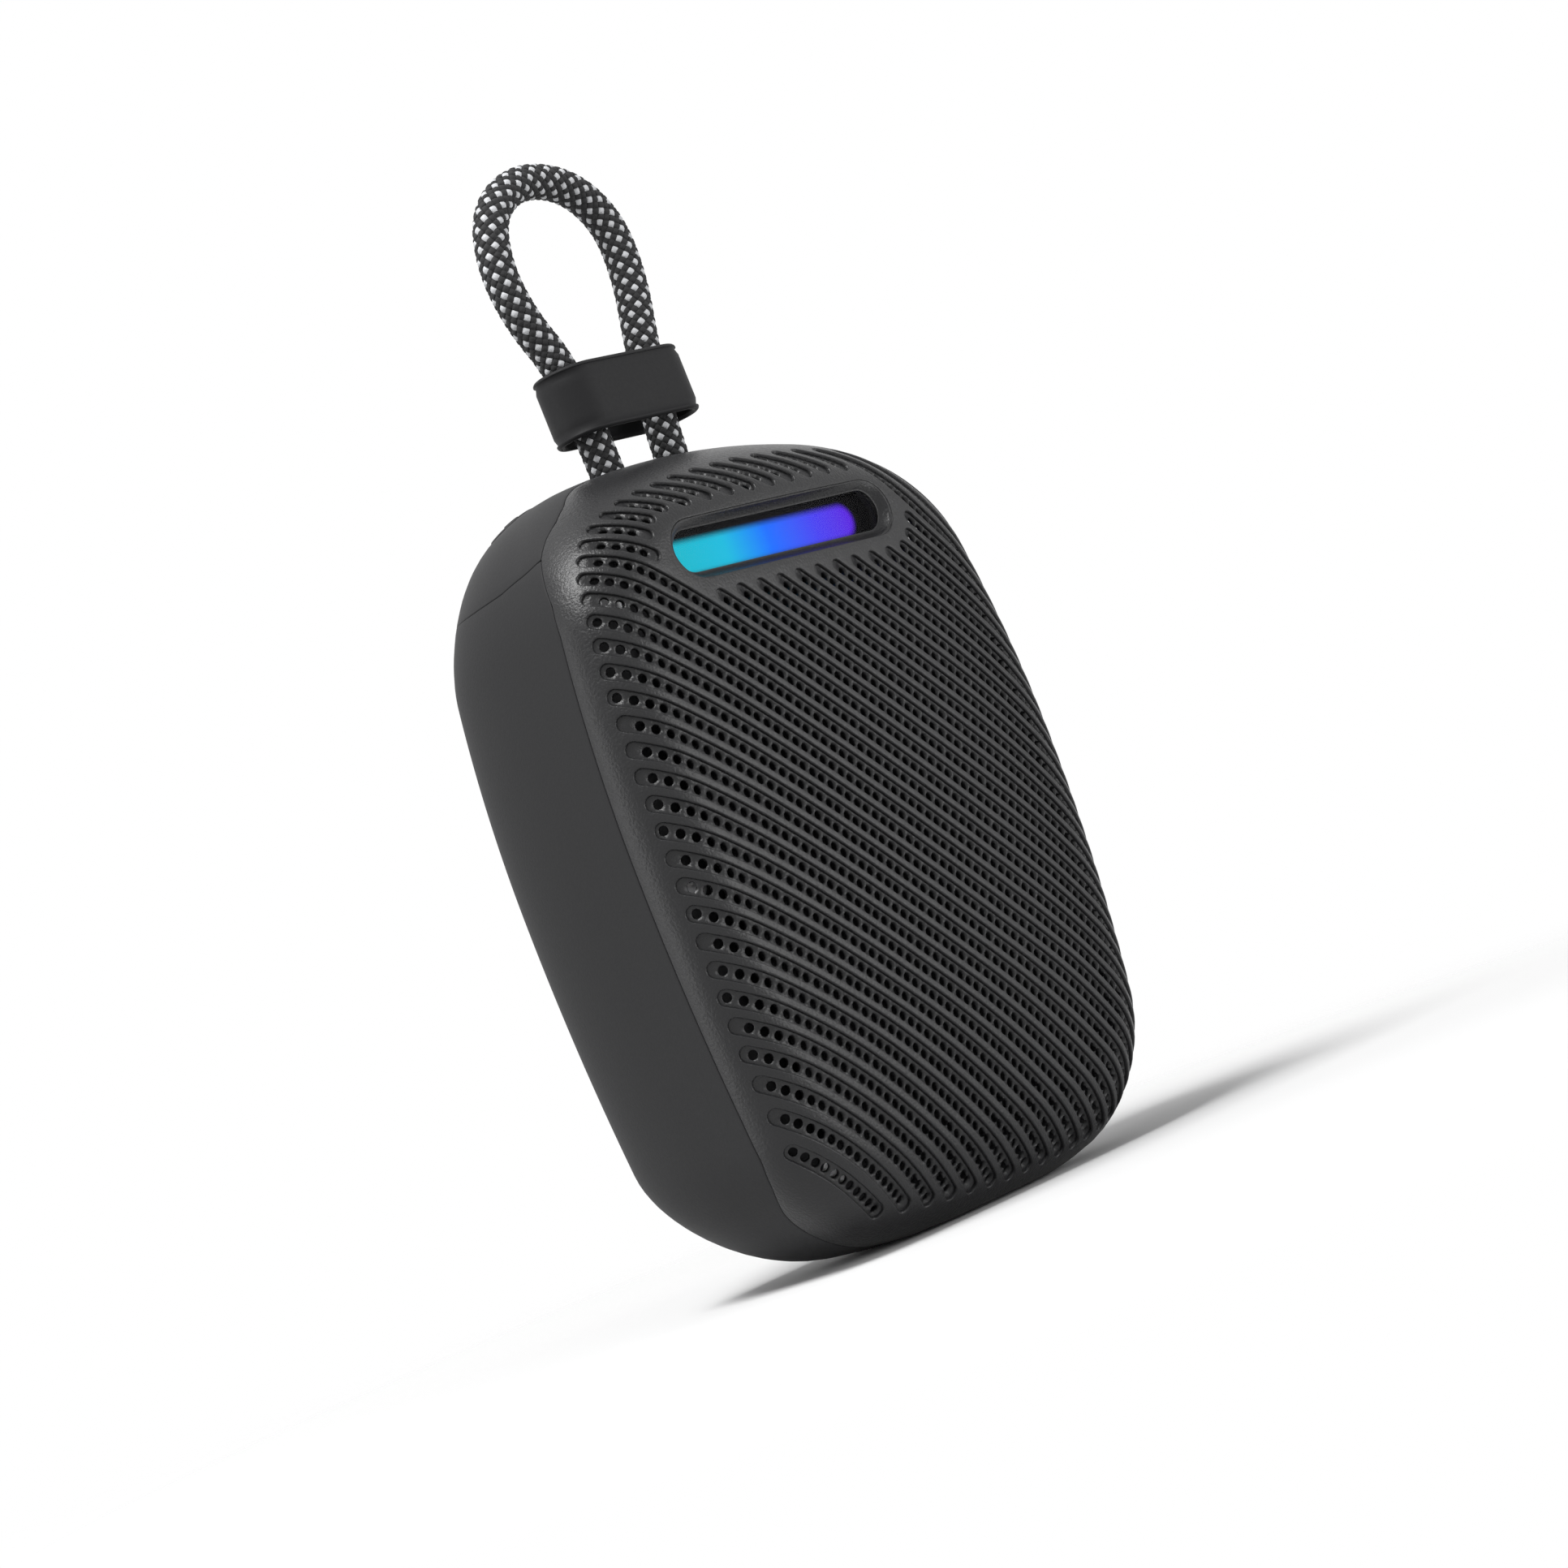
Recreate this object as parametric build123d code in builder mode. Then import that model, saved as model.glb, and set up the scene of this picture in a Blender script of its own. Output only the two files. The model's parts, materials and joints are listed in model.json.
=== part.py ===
from build123d import *
from math import cos, pi, radians, sin
import os

# A portable waterproof speaker with a sliding-band rope loop.
# Millimetres. X is the width, -Y is the front, +Z is up, and the foot rests on Z = 0.

# Overall form
body_width = 86.0
body_height = 122.0
body_depth = 44.0
side_drop = 6.0               # how far each side curves in at the corners of its outline
top_drop = 3.0
bottom_drop = 6.5
top_corner_radius = 31.0
bottom_corner_radius = 22.5
crown_radius = 500.0          # the front face is a shallow dome
front_edge_radius = 8.0
rear_edge_radius = 12.0
top_front_radius = 24.0       # seen from the side
top_rear_radius = 19.0
bottom_front_radius = 10.0
bottom_rear_radius = 19.0
base_trim = 1.0               # cut off the domed lower end to make the flat
wall = 2.2
skin_gap = 0.3                # between the shells and what fills them
running_gap = 0.15

# Seam between the grille and the rest
seam_depth = 11.0             # behind the front, along the straight sides
seam_top_y = -1.2
seam_bottom_y = -7.0
seam_corner_y = -7.8          # at both corners of a side
# heights at which the seam leaves the sides' depth, and reaches the corners' and the top's
seam_top_heights = (97.5, 105.5, 116.0)
seam_bottom_heights = (17.5, 10.5)
cover_edge_height = 104.0     # lower edge of the top cover

# Grille
groove_pitch = 2.8
groove_width = 1.5
groove_depth = 1.0
groove_margin = 5.5
groove_first = -54.0
groove_last = 60.0
groove_tight_radius = 30.0
groove_radius_gain = 1.6
mesh_thickness = 0.4
mesh_width = 66.0
mesh_bottom_z = 9.0
mesh_top_z = 91.0

# Light bar
window_length = 46.0
window_height = 9.4
window_z = 100.0
lens_recess = 3.4             # behind the front plane
lens_thickness = 3.0
lens_clearance = 0.1
bezel_wall = 2.2
bezel_depth = 7.4
bezel_lap = 1.0               # how far the bezel reaches past the lens's back face, forwards
diffuser_thickness = 1.5
led_count = 8
led_pitch = 5.0
led_size = 3.2
led_height = 1.6
led_board_thickness = 1.2

# Outline of the front frame, which stays inside the grille's rounded upper corners
frame_width = 81.2
frame_top_z = 110.6
frame_corner_radius = 26.0

# Driver, on an axis parallel to Y
driver_z = 64.0
flange_radius = 27.0
flange_thickness = 1.6
gasket_thickness = 0.8
baffle_thickness = 2.0
baffle_front_y = -13.0
bowl_radius = 22.0
bowl_wall = 1.0
pole_radius = 6.2
coil_inner_radius = 6.45
coil_outer_radius = 6.95
plate_bore_radius = 7.25
magnet_radius = 15.0
top_plate_y = -3.0
top_plate_thickness = 3.0
magnet_thickness = 6.0
yoke_thickness = 3.0
cone_outer_radius = 17.4
cone_thickness = 0.6
surround_inner_radius = 17.7
surround_land_radius = 21.0
surround_outer_radius = 23.0
surround_rise = 1.6
surround_thickness = 0.5
moving_gap = 0.3

spider_y = -8.0
spider_radius = 15.8
spider_thickness = 0.4
coil_front_y = -11.5
coil_back_y = 1.5
cone_depth = 4.4
cap_radius = 8.6
cap_rise = 2.4
screw_circle_radius = 25.0

# Passive radiator
radiator_z = 20.5
radiator_length = 46.0
radiator_height = 20.0
radiator_roll = 4.5
radiator_plate_thickness = 1.4
radiator_land = 2.6

# Battery
cell_radius = 9.2
cell_length = 65.0
cell_y = 6.0
cell_z = 25.5
cell_gap = 0.2

# Main board
board_y = 12.6
board_thickness = 1.6
board_width = 54.0
board_bottom_z = 40.0
board_top_z = 92.0
board_post_x = 23.5
board_post_radius = 2.6
board_screw_radius = 1.0
board_screw_length = 4.0
lead_radius = 0.6

# Controls
button_y = 10.3
button_pitch = 10.5
button_length = 8.6
button_depth = 6.4
button_rise = 0.5
button_lip = 0.8
button_travel = 0.5
stem_radius = 1.5
key_board_z = 108.4
key_board_thickness = 1.2
switch_size = 4.6
switch_height = 3.0
seal_thickness = 0.6

# Charging port and its flap
port_x = 0.0
port_z = 47.0
port_width = 9.0
port_height = 3.2
port_wall = 0.35
port_inset = 2.2
flap_length = 19.0
flap_height = 10.0
flap_thickness = 1.3
flap_gap = 0.25
flap_tab_length = 7.4
flap_tab_height = 1.8
flap_tab_depth = 1.9
flap_barrel_length = 8.0
flap_barrel_radius = 1.1
flap_pin_radius = 0.6
flap_pin_length = 12.0
flap_tongue_width = 8.0
flap_shoulder = 1.8            # height of the shoulders above the hinge
status_x = -15.0
status_radius = 0.8
microphone_x = 15.0
microphone_hole_radius = 0.5

# Rope loop and slider
rope_radius = 2.7
rope_y = 2.6
rope_spacing = 13.4
rope_hole_gap = 0.35
anchor_top_z = 112.0
anchor_height = 9.0
anchor_depth = 7.2
anchor_width = 22.0
anchor_ear_thickness = 2.5
anchor_screw_x = 15.0
anchor_boss_hole = 5.0
key_board_half_width = 26.2
key_board_front_y = 7.2
key_board_back_y = 14.5
key_ear_width = 5.2            # of the two ears that carry the board
key_ear_depth = 7.8
key_boss_x = 23.5
key_boss_y = 3.6
key_boss_radius = 2.2
key_boss_hole = 3.2
key_screw_radius = 0.8
rope_seat = 4.0               # how deep each rope end goes into the anchor
slider_width = 26.4
slider_depth = 11.0
slider_height = 10.4
slider_wall = 1.2
slider_z = 123.8
slider_tilt = 1.2
slider_x = 0.8

# Foot and screws
foot_stand = 0.3
foot_length = 28.0
foot_depth = 12.0
foot_y = 2.6
foot_recess = 0.8
post_radius = 3.0
post_depth = 9.0
seal_width = 1.6
screw_radius = 1.2
screw_head_radius = 2.1
screw_head_height = 1.4

# Derived positions
front_y = -body_depth / 2
rear_y = body_depth / 2
outline_bottom = foot_stand - base_trim
outline_top = outline_bottom + body_height
mid_z = outline_bottom + body_height / 2
seam_y = front_y + seam_depth
baffle_back_y = baffle_front_y + baffle_thickness
flange_front_y = baffle_front_y - gasket_thickness - flange_thickness
magnet_y = top_plate_y + top_plate_thickness
yoke_y = magnet_y + magnet_thickness
yoke_back_y = yoke_y + yoke_thickness
board_back_y = board_y + board_thickness
post_places = [(31.0, 13.0), (36.0, 56.0), (32.0, 96.0)]
button_places = [button_pitch * (i - 2) for i in range(5)]
button_names = ["button_power", "button_pairing", "button_play", "button_minus", "button_plus"]
flap_axis_z = port_z - flap_height / 2 - 0.3
flap_axis_y = rear_y - flap_barrel_radius
key_board_top_z = key_board_z + key_board_thickness
switch_top_z = key_board_top_z + switch_height
bezel_length = window_length + 2 * bezel_wall
bezel_height = window_height + 2 * bezel_wall
board_mid_z = (board_bottom_z + board_top_z) / 2
board_post_spread = board_top_z - board_bottom_z - 8
lens_front_y = front_y + lens_recess
lens_back_y = lens_front_y + lens_thickness
bezel_front_y = lens_back_y - bezel_lap
bezel_back_y = bezel_front_y + bezel_depth

os.makedirs("parts", exist_ok=True)


def save(piece, label):
    piece.part.label = label
    export_step(piece.part, f"parts/{label}.step")


def facing(y):
    """The plane at depth y whose normal points to the front; its own y is the speaker's Z."""
    return Plane.XZ.offset(-y)


def speaker_form(inset):
    """The solid of the outer form, moved inwards by inset."""
    half = body_width / 2
    corner_x = half - side_drop
    top_z = outline_top - top_drop
    bottom_z = outline_bottom + bottom_drop
    with BuildPart() as form:
        with BuildSketch(facing(rear_y - inset)) as outline:
            with BuildLine():
                ThreePointArc((-corner_x, top_z), (0, outline_top), (corner_x, top_z))
                ThreePointArc((corner_x, top_z), (half, mid_z), (corner_x, bottom_z))
                ThreePointArc((corner_x, bottom_z), (0, outline_bottom), (-corner_x, bottom_z))
                ThreePointArc((-corner_x, bottom_z), (-half, mid_z), (-corner_x, top_z))
            make_face()
            offset(amount=-inset, kind=Kind.INTERSECTION)
            fillet(outline.vertices().group_by(Axis.Y)[0], bottom_corner_radius - inset)
            fillet(outline.vertices().group_by(Axis.Y)[-1], top_corner_radius - inset)
        extrude(amount=body_depth - 2 * inset + 1)
        with Locations((0, front_y + crown_radius, mid_z)):
            Sphere(crown_radius - inset, mode=Mode.INTERSECT)
        fillet(form.faces().sort_by(Axis.Y)[0].edges(), front_edge_radius - inset)
        fillet(form.faces().sort_by(Axis.Y)[-1].edges(), rear_edge_radius - inset)
        low_z = outline_bottom + inset
        high_z = outline_top - inset
        corners = [(front_y + inset, low_z), (front_y + inset, high_z)]
        corners += [(rear_y - inset, high_z), (rear_y - inset, low_z)]
        radii = [bottom_front_radius, top_front_radius, top_rear_radius, bottom_rear_radius]
        with BuildSketch(Plane.YZ.offset(-half)):
            with BuildLine():
                FilletPolyline(*corners, radius=[radius - inset for radius in radii], close=True)
            make_face()
        extrude(amount=body_width, mode=Mode.INTERSECT)
    return form.part


def skin(outer_inset, inner_inset):
    """The layer of the form between two insets."""
    with BuildPart() as layer:
        add(speaker_form(outer_inset))
        add(speaker_form(inner_inset), mode=Mode.SUBTRACT)
    return layer.part


def ring(outer, inner, front, back, x=0.0, z=0.0):
    """A round ring, or a disc where the inner radius is zero, on an axis parallel to Y."""
    with BuildPart() as piece:
        with BuildSketch(facing(back)):
            with Locations((x, z)):
                Circle(outer)
                if inner:
                    Circle(inner, mode=Mode.SUBTRACT)
        extrude(amount=back - front)
    return piece.part


def stadium_block(length, height, front, back, x=0.0, z=0.0):
    """A round-ended bar, seen from the front, between two depths."""
    with BuildPart() as piece:
        with BuildSketch(facing(back)):
            with Locations((x, z)):
                SlotOverall(length, height)
        extrude(amount=back - front)
    return piece.part


def screw(x, z, head_front, length, radius, head_radius, head_height):
    """A pan-head screw that points to the rear, with a cross recess in its head."""
    shank_front = head_front + head_height
    with BuildPart() as piece:
        with BuildSketch(facing(shank_front)):
            with Locations((x, z)):
                Circle(head_radius)
        extrude(amount=head_height)
        fillet(piece.edges().sort_by(Axis.Y)[0], 0.3)
        with BuildSketch(facing(shank_front + length)):
            with Locations((x, z)):
                Circle(radius)
        extrude(amount=length)
        with BuildSketch(facing(head_front + 0.7)):
            with Locations((x, z)):
                Rectangle(head_radius, 0.5)
                Rectangle(0.5, head_radius)
        extrude(amount=0.8, mode=Mode.SUBTRACT)
    return piece.part


outer_form = speaker_form(0)
inner_form = speaker_form(wall)
cavity_form = speaker_form(wall + skin_gap)

# Everything in front of the seam between the grille and the rest
leave_z, corner_z, arrive_z = seam_top_heights
low_leave_z, low_corner_z = seam_bottom_heights
with BuildPart() as front_block:
    with BuildSketch(Plane.YZ.offset(-body_width)):
        with BuildLine():
            Polyline(
                (front_y - 5, outline_bottom - 5),
                (seam_bottom_y, outline_bottom - 5),
                (seam_corner_y, low_corner_z),
                (seam_y, low_leave_z),
                (seam_y, leave_z),
                (seam_corner_y, corner_z),
                (seam_top_y, arrive_z),
                (seam_top_y, outline_top + 5),
                (front_y - 5, outline_top + 5),
                close=True,
            )
        make_face()
    extrude(amount=2 * body_width)
front_side = front_block.part

# ---------------------------------------------------------------- grille


def groove_arc(distance):
    """Three points of the groove that crosses the rising diagonal at a distance from mid height."""
    radius = groove_tight_radius + groove_radius_gain * (distance - groove_first)
    reach = min(1.2, 75 / radius)
    centre_distance = distance - radius
    diagonal = radians(45)
    centre_x = centre_distance * cos(diagonal)
    centre_z = mid_z + centre_distance * sin(diagonal)
    places = []
    for turn in (-reach, 0, reach):
        angle = diagonal + turn
        places.append((centre_x + radius * cos(angle), centre_z + radius * sin(angle)))
    return places


groove_count = int((groove_last - groove_first) / groove_pitch) + 1
groove_lines = [groove_arc(groove_first + groove_pitch * i) for i in range(groove_count)]

with BuildPart() as groove_cut:
    with BuildSketch(facing(baffle_front_y)) as groove_bands:
        for places in groove_lines:
            with BuildLine():
                groove_line = ThreePointArc(*places)
            trace(groove_line, groove_width)
        with BuildSketch(mode=Mode.INTERSECT):
            with Locations((0, mid_z)):
                RectangleRounded(
                    body_width - 2 * groove_margin,
                    body_height - 2 * groove_margin,
                    top_corner_radius - groove_margin,
                )
        with BuildSketch(mode=Mode.SUBTRACT):
            with Locations((0, window_z)):
                SlotOverall(window_length + 3, window_height + 3)
    extrude(amount=body_depth)
    add(skin(-1, groove_depth), mode=Mode.INTERSECT)

with BuildPart() as front_grille:
    add(outer_form)
    add(inner_form, mode=Mode.SUBTRACT)
    add(front_side, mode=Mode.INTERSECT)
    with BuildSketch(facing(baffle_front_y)):
        with Locations((0, window_z)):
            SlotOverall(window_length, window_height)
    extrude(amount=body_depth, mode=Mode.SUBTRACT)
    add(groove_cut.part, mode=Mode.SUBTRACT)
    # the lower end is level with the flat round the foot
    with Locations((0, 0, foot_stand - body_height / 2)):
        Box(2 * body_width, 2 * body_depth, body_height, mode=Mode.SUBTRACT)
save(front_grille, "front_grille")


def flap_block(grow, front, back):
    """The port flap's plate: a rounded bar with a hinge tongue below its shoulders."""
    side_width = flap_length / 2
    # the shoulders dip as the flap opens, so the recess is twice as wide below them
    shoulder_z = flap_axis_z + flap_shoulder - 2 * grow
    side_x = flap_tongue_width / 2 + grow + side_width / 2
    with BuildPart() as piece:
        with BuildSketch(facing(back)):
            with Locations((port_x, port_z)):
                SlotOverall(flap_length + 2 * grow, flap_height + 2 * grow)
            with Locations((port_x + side_x, shoulder_z), (port_x - side_x, shoulder_z)):
                Rectangle(
                    side_width, flap_height, align=(Align.CENTER, Align.MAX), mode=Mode.SUBTRACT
                )
        extrude(amount=back - front)
    return piece.part


# ---------------------------------------------------------------- shells

with BuildPart() as rear_shell:
    add(outer_form)
    add(inner_form, mode=Mode.SUBTRACT)
    # screw posts on the rear wall, and a thicker floor above the foot
    with BuildSketch(facing(baffle_back_y)):
        for x, z in post_places:
            with Locations((x, z), (-x, z)):
                Circle(post_radius)
    extrude(amount=-body_depth)
    with BuildSketch(facing(board_back_y)):
        with Locations((0, board_mid_z)):
            with GridLocations(2 * board_post_x, board_post_spread, 2, 2):
                Circle(board_post_radius)
    extrude(amount=-body_depth)
    with Locations((0, foot_y, foot_stand + wall)):
        Box(foot_length + 6, foot_depth + 4, 2 * wall - foot_recess)
    add(outer_form, mode=Mode.INTERSECT)
    add(front_side, mode=Mode.SUBTRACT)
    with Locations((0, 0, cover_edge_height + body_height / 2)):
        Box(2 * body_width, 2 * body_depth, body_height, mode=Mode.SUBTRACT)
    # the flat round the foot, and the foot's recess
    with Locations((0, 0, foot_stand - body_height / 2)):
        Box(2 * body_width, 2 * body_depth, body_height, mode=Mode.SUBTRACT)
    with BuildSketch(Plane.XY.offset(foot_stand)):
        with Locations((0, foot_y)):
            SlotOverall(foot_length + 2 * running_gap, foot_depth + 2 * running_gap)
    extrude(amount=foot_recess, mode=Mode.SUBTRACT)
    # screw holes in the posts
    with BuildSketch(facing(baffle_back_y)):
        for x, z in post_places:
            with Locations((x, z), (-x, z)):
                Circle(screw_radius)
    extrude(amount=-post_depth, mode=Mode.SUBTRACT)
    with BuildSketch(facing(board_back_y)):
        with Locations((0, board_mid_z)):
            with GridLocations(2 * board_post_x, board_post_spread, 2, 2):
                Circle(board_screw_radius)
    extrude(amount=-board_screw_length, mode=Mode.SUBTRACT)
    # charging port: the way in, the shallow recess that the flap closes, and the hinge's seat
    with BuildSketch(facing(rear_y + 1)):
        with Locations((port_x, port_z)):
            SlotOverall(port_width + 2, port_height + 2)
        with Locations((status_x, port_z)):
            Circle(status_radius + 0.05)
        with Locations((microphone_x, port_z)):
            Circle(microphone_hole_radius)
    extrude(amount=wall + 2, mode=Mode.SUBTRACT)
    add(flap_block(flap_gap, rear_y - flap_thickness - 0.1, rear_y + 1), mode=Mode.SUBTRACT)
    with Locations((port_x, flap_axis_y, flap_axis_z)):
        Box(
            flap_barrel_length + 2 * flap_gap,
            2 * flap_barrel_radius + 2 * flap_gap,
            2 * flap_barrel_radius + 4 * flap_gap,
            mode=Mode.SUBTRACT,
        )
        Cylinder(flap_pin_radius, flap_pin_length, rotation=(0, 90, 0), mode=Mode.SUBTRACT)
save(rear_shell, "rear_shell")

with BuildPart() as top_cover:
    add(outer_form)
    add(inner_form, mode=Mode.SUBTRACT)
    # two bosses that carry the rope anchor, and two that carry the key board
    with BuildSketch(Plane.XY.offset(anchor_top_z)):
        with Locations((anchor_screw_x, rope_y), (-anchor_screw_x, rope_y)):
            Circle(post_radius)
    extrude(amount=outline_top - anchor_top_z)
    with BuildSketch(Plane.XY.offset(key_board_top_z)):
        with Locations((key_boss_x, key_boss_y), (-key_boss_x, key_boss_y)):
            Circle(key_boss_radius)
    extrude(amount=outline_top - key_board_top_z)
    add(outer_form, mode=Mode.INTERSECT)
    add(front_side, mode=Mode.SUBTRACT)
    with Locations((0, 0, cover_edge_height - body_height / 2)):
        Box(2 * body_width, 2 * body_depth, body_height, mode=Mode.SUBTRACT)
    with BuildSketch(Plane.XY.offset(anchor_top_z)):
        with Locations((anchor_screw_x, rope_y), (-anchor_screw_x, rope_y)):
            Circle(screw_radius)
    extrude(amount=anchor_boss_hole, mode=Mode.SUBTRACT)
    with BuildSketch(Plane.XY.offset(key_board_top_z)):
        with Locations((key_boss_x, key_boss_y), (-key_boss_x, key_boss_y)):
            Circle(key_screw_radius)
    extrude(amount=key_boss_hole, mode=Mode.SUBTRACT)
    with BuildSketch(Plane.XY.offset(anchor_top_z)):
        with Locations((rope_spacing / 2, rope_y), (-rope_spacing / 2, rope_y)):
            Circle(rope_radius + rope_hole_gap)
        for x in button_places:
            with Locations((x, button_y)):
                SlotOverall(button_length + 2 * running_gap, button_depth + 2 * running_gap)
    extrude(amount=body_height, mode=Mode.SUBTRACT)
save(top_cover, "top_cover")

with BuildPart() as base_foot:
    with BuildSketch():
        with Locations((0, foot_y)):
            SlotOverall(foot_length, foot_depth)
    extrude(amount=foot_stand + foot_recess)
    fillet(base_foot.faces().sort_by(Axis.Z)[0].edges(), foot_stand / 2)
save(base_foot, "base_foot")

# ---------------------------------------------------------------- front frame



def framed(form, inset):
    """A form cut down to the outline of the front frame, moved inwards by inset."""
    with BuildPart() as piece:
        add(form)
        with BuildSketch(facing(rear_y)):
            with Locations((0, frame_top_z - body_height)):
                RectangleRounded(
                    frame_width - 2 * inset,
                    2 * body_height - 2 * inset,
                    frame_corner_radius - inset,
                )
        extrude(amount=2 * body_depth, mode=Mode.INTERSECT)
    return piece.part


with BuildPart() as front_baffle:
    add(framed(cavity_form, 0))
    with Locations((0, (baffle_front_y + baffle_back_y) / 2, mid_z)):
        Box(2 * body_width, baffle_thickness, 2 * body_height, mode=Mode.INTERSECT)
    with BuildSketch(facing(baffle_back_y)):
        with Locations((0, driver_z)):
            Circle(bowl_radius + skin_gap)
            with PolarLocations(screw_circle_radius, 4, 45):
                Circle(board_screw_radius)
        with Locations((0, radiator_z)):
            SlotOverall(radiator_length, radiator_height)
        with Locations((0, window_z)):
            SlotOverall(bezel_length + 2 * skin_gap, bezel_height + 2 * skin_gap)
        for x, z in post_places:
            with Locations((x, z), (-x, z)):
                Circle(screw_radius + running_gap)
    extrude(amount=baffle_thickness, mode=Mode.SUBTRACT)
save(front_baffle, "front_baffle")

with BuildPart() as baffle_screws:
    for x, z in post_places:
        for side in (-1, 1):
            add(
                screw(
                    side * x,
                    z,
                    baffle_front_y - screw_head_height,
                    baffle_thickness + post_depth - 1,
                    screw_radius,
                    screw_head_radius,
                    screw_head_height,
                )
            )
save(baffle_screws, "baffle_screws")

with BuildPart() as housing_seal:
    add(framed(speaker_form(wall + 0.1), 0))
    add(framed(speaker_form(wall + 1.5), 1.4), mode=Mode.SUBTRACT)
    with Locations((0, baffle_back_y + 0.1 + seal_width / 2, mid_z)):
        Box(2 * body_width, seal_width, 2 * body_height, mode=Mode.INTERSECT)
    with BuildSketch(facing(baffle_back_y)):
        for x, z in post_places:
            with Locations((x, z), (-x, z)):
                Circle(post_radius + 0.2)
    extrude(amount=-2 * seal_width, mode=Mode.SUBTRACT)
save(housing_seal, "housing_seal")

with BuildPart() as grille_mesh:
    add(skin(wall + 0.1, wall + 0.1 + mesh_thickness))
    with BuildSketch(facing(baffle_front_y)):
        with Locations((0, (mesh_bottom_z + mesh_top_z) / 2)):
            RectangleRounded(mesh_width, mesh_top_z - mesh_bottom_z, 14)
    extrude(amount=body_depth, mode=Mode.INTERSECT)
save(grille_mesh, "grille_mesh")

# ---------------------------------------------------------------- light bar

lens_length = window_length - 2 * lens_clearance
lens_height = window_height - 2 * lens_clearance
diffuser_front_y = lens_back_y + 0.05
light_board_y = bezel_back_y - led_board_thickness

with BuildPart() as light_lens:
    add(stadium_block(lens_length, lens_height, lens_front_y, lens_back_y, z=window_z))
    fillet(light_lens.faces().sort_by(Axis.Y)[0].edges(), 0.3)
save(light_lens, "light_lens")

with BuildPart() as light_bezel:
    add(stadium_block(bezel_length, bezel_height, bezel_front_y, bezel_back_y, z=window_z))
    add(
        stadium_block(window_length, window_height, bezel_front_y, bezel_back_y, z=window_z),
        mode=Mode.SUBTRACT,
    )
    add(speaker_form(wall + 0.1), mode=Mode.INTERSECT)
save(light_bezel, "light_bezel")

with BuildPart() as light_diffuser:
    add(
        stadium_block(
            lens_length,
            lens_height,
            diffuser_front_y,
            diffuser_front_y + diffuser_thickness,
            z=window_z,
        )
    )
save(light_diffuser, "light_diffuser")

with BuildPart() as light_board:
    add(stadium_block(lens_length, lens_height, light_board_y, bezel_back_y, z=window_z))
save(light_board, "light_board")

with BuildPart() as light_leds:
    with BuildSketch(facing(light_board_y)):
        with Locations((0, window_z)):
            with GridLocations(led_pitch, 1, led_count, 1):
                Rectangle(led_size, led_size)
    extrude(amount=led_height)
save(light_leds, "light_leds")

# ---------------------------------------------------------------- driver

driver_axis = Axis((0, 0, driver_z), (0, 1, 0))


def turned(profile):
    """A solid turned about the driver's axis from (depth, radius) points."""
    with BuildPart() as piece:
        with BuildSketch(Plane.YZ):
            with BuildLine():
                Polyline([(y, driver_z + radius) for y, radius in profile], close=True)
            make_face()
        revolve(axis=driver_axis)
    return piece.part


def driver_holes(radius):
    """Four pegs on the driver's screw circle, to cut holes with."""
    with BuildPart() as pegs:
        with BuildSketch(facing(baffle_back_y)):
            with Locations((0, driver_z)):
                with PolarLocations(screw_circle_radius, 4, 45):
                    Circle(radius)
        extrude(amount=body_depth)
    return pegs.part


with BuildPart() as driver_gasket:
    gasket_front_y = baffle_front_y - gasket_thickness
    add(ring(flange_radius, bowl_radius + skin_gap, gasket_front_y, baffle_front_y, z=driver_z))
    add(driver_holes(board_screw_radius + running_gap), mode=Mode.SUBTRACT)
save(driver_gasket, "driver_gasket")

bowl_back_y = top_plate_y - bowl_wall
flange_back_y = flange_front_y + flange_thickness
bowl_slope = (bowl_radius - magnet_radius) / (bowl_back_y - flange_back_y)
ledge_back_y = spider_y + 0.6


def bowl_inside(y):
    return magnet_radius - bowl_wall + bowl_slope * (bowl_back_y - y)


with BuildPart() as driver_basket:
    add(
        turned(
            [
                (flange_front_y, bowl_inside(flange_back_y)),
                (flange_front_y, flange_radius),
                (flange_back_y, flange_radius),
                (flange_back_y, bowl_radius),
                (bowl_back_y, magnet_radius),
                (top_plate_y, magnet_radius),
                (top_plate_y, plate_bore_radius + 0.4),
                (bowl_back_y, plate_bore_radius + 0.4),
                (bowl_back_y, magnet_radius - bowl_wall),
                (ledge_back_y, bowl_inside(ledge_back_y)),
                (ledge_back_y, spider_radius - 1.2),
                (spider_y, spider_radius - 1.2),
                (spider_y, bowl_inside(spider_y)),
                (flange_back_y, bowl_inside(flange_back_y)),
            ]
        )
    )
    # six windows between the spokes, behind the spider's ledge
    with BuildSketch(Plane.XY.offset(driver_z + plate_bore_radius)):
        with Locations((0, (ledge_back_y + bowl_back_y) / 2)):
            Rectangle(8, bowl_back_y - ledge_back_y - 0.6)
    window_cut = extrude(amount=body_width, mode=Mode.PRIVATE)
    for turn in range(6):
        add(window_cut.rotate(driver_axis, 60 * turn + 30), mode=Mode.SUBTRACT)
    add(driver_holes(board_screw_radius + running_gap), mode=Mode.SUBTRACT)
save(driver_basket, "driver_basket")

roll_radius = (surround_land_radius - surround_inner_radius) / 2
roll_middle = surround_inner_radius + roll_radius
surround_back_y = flange_front_y - 0.05

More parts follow.
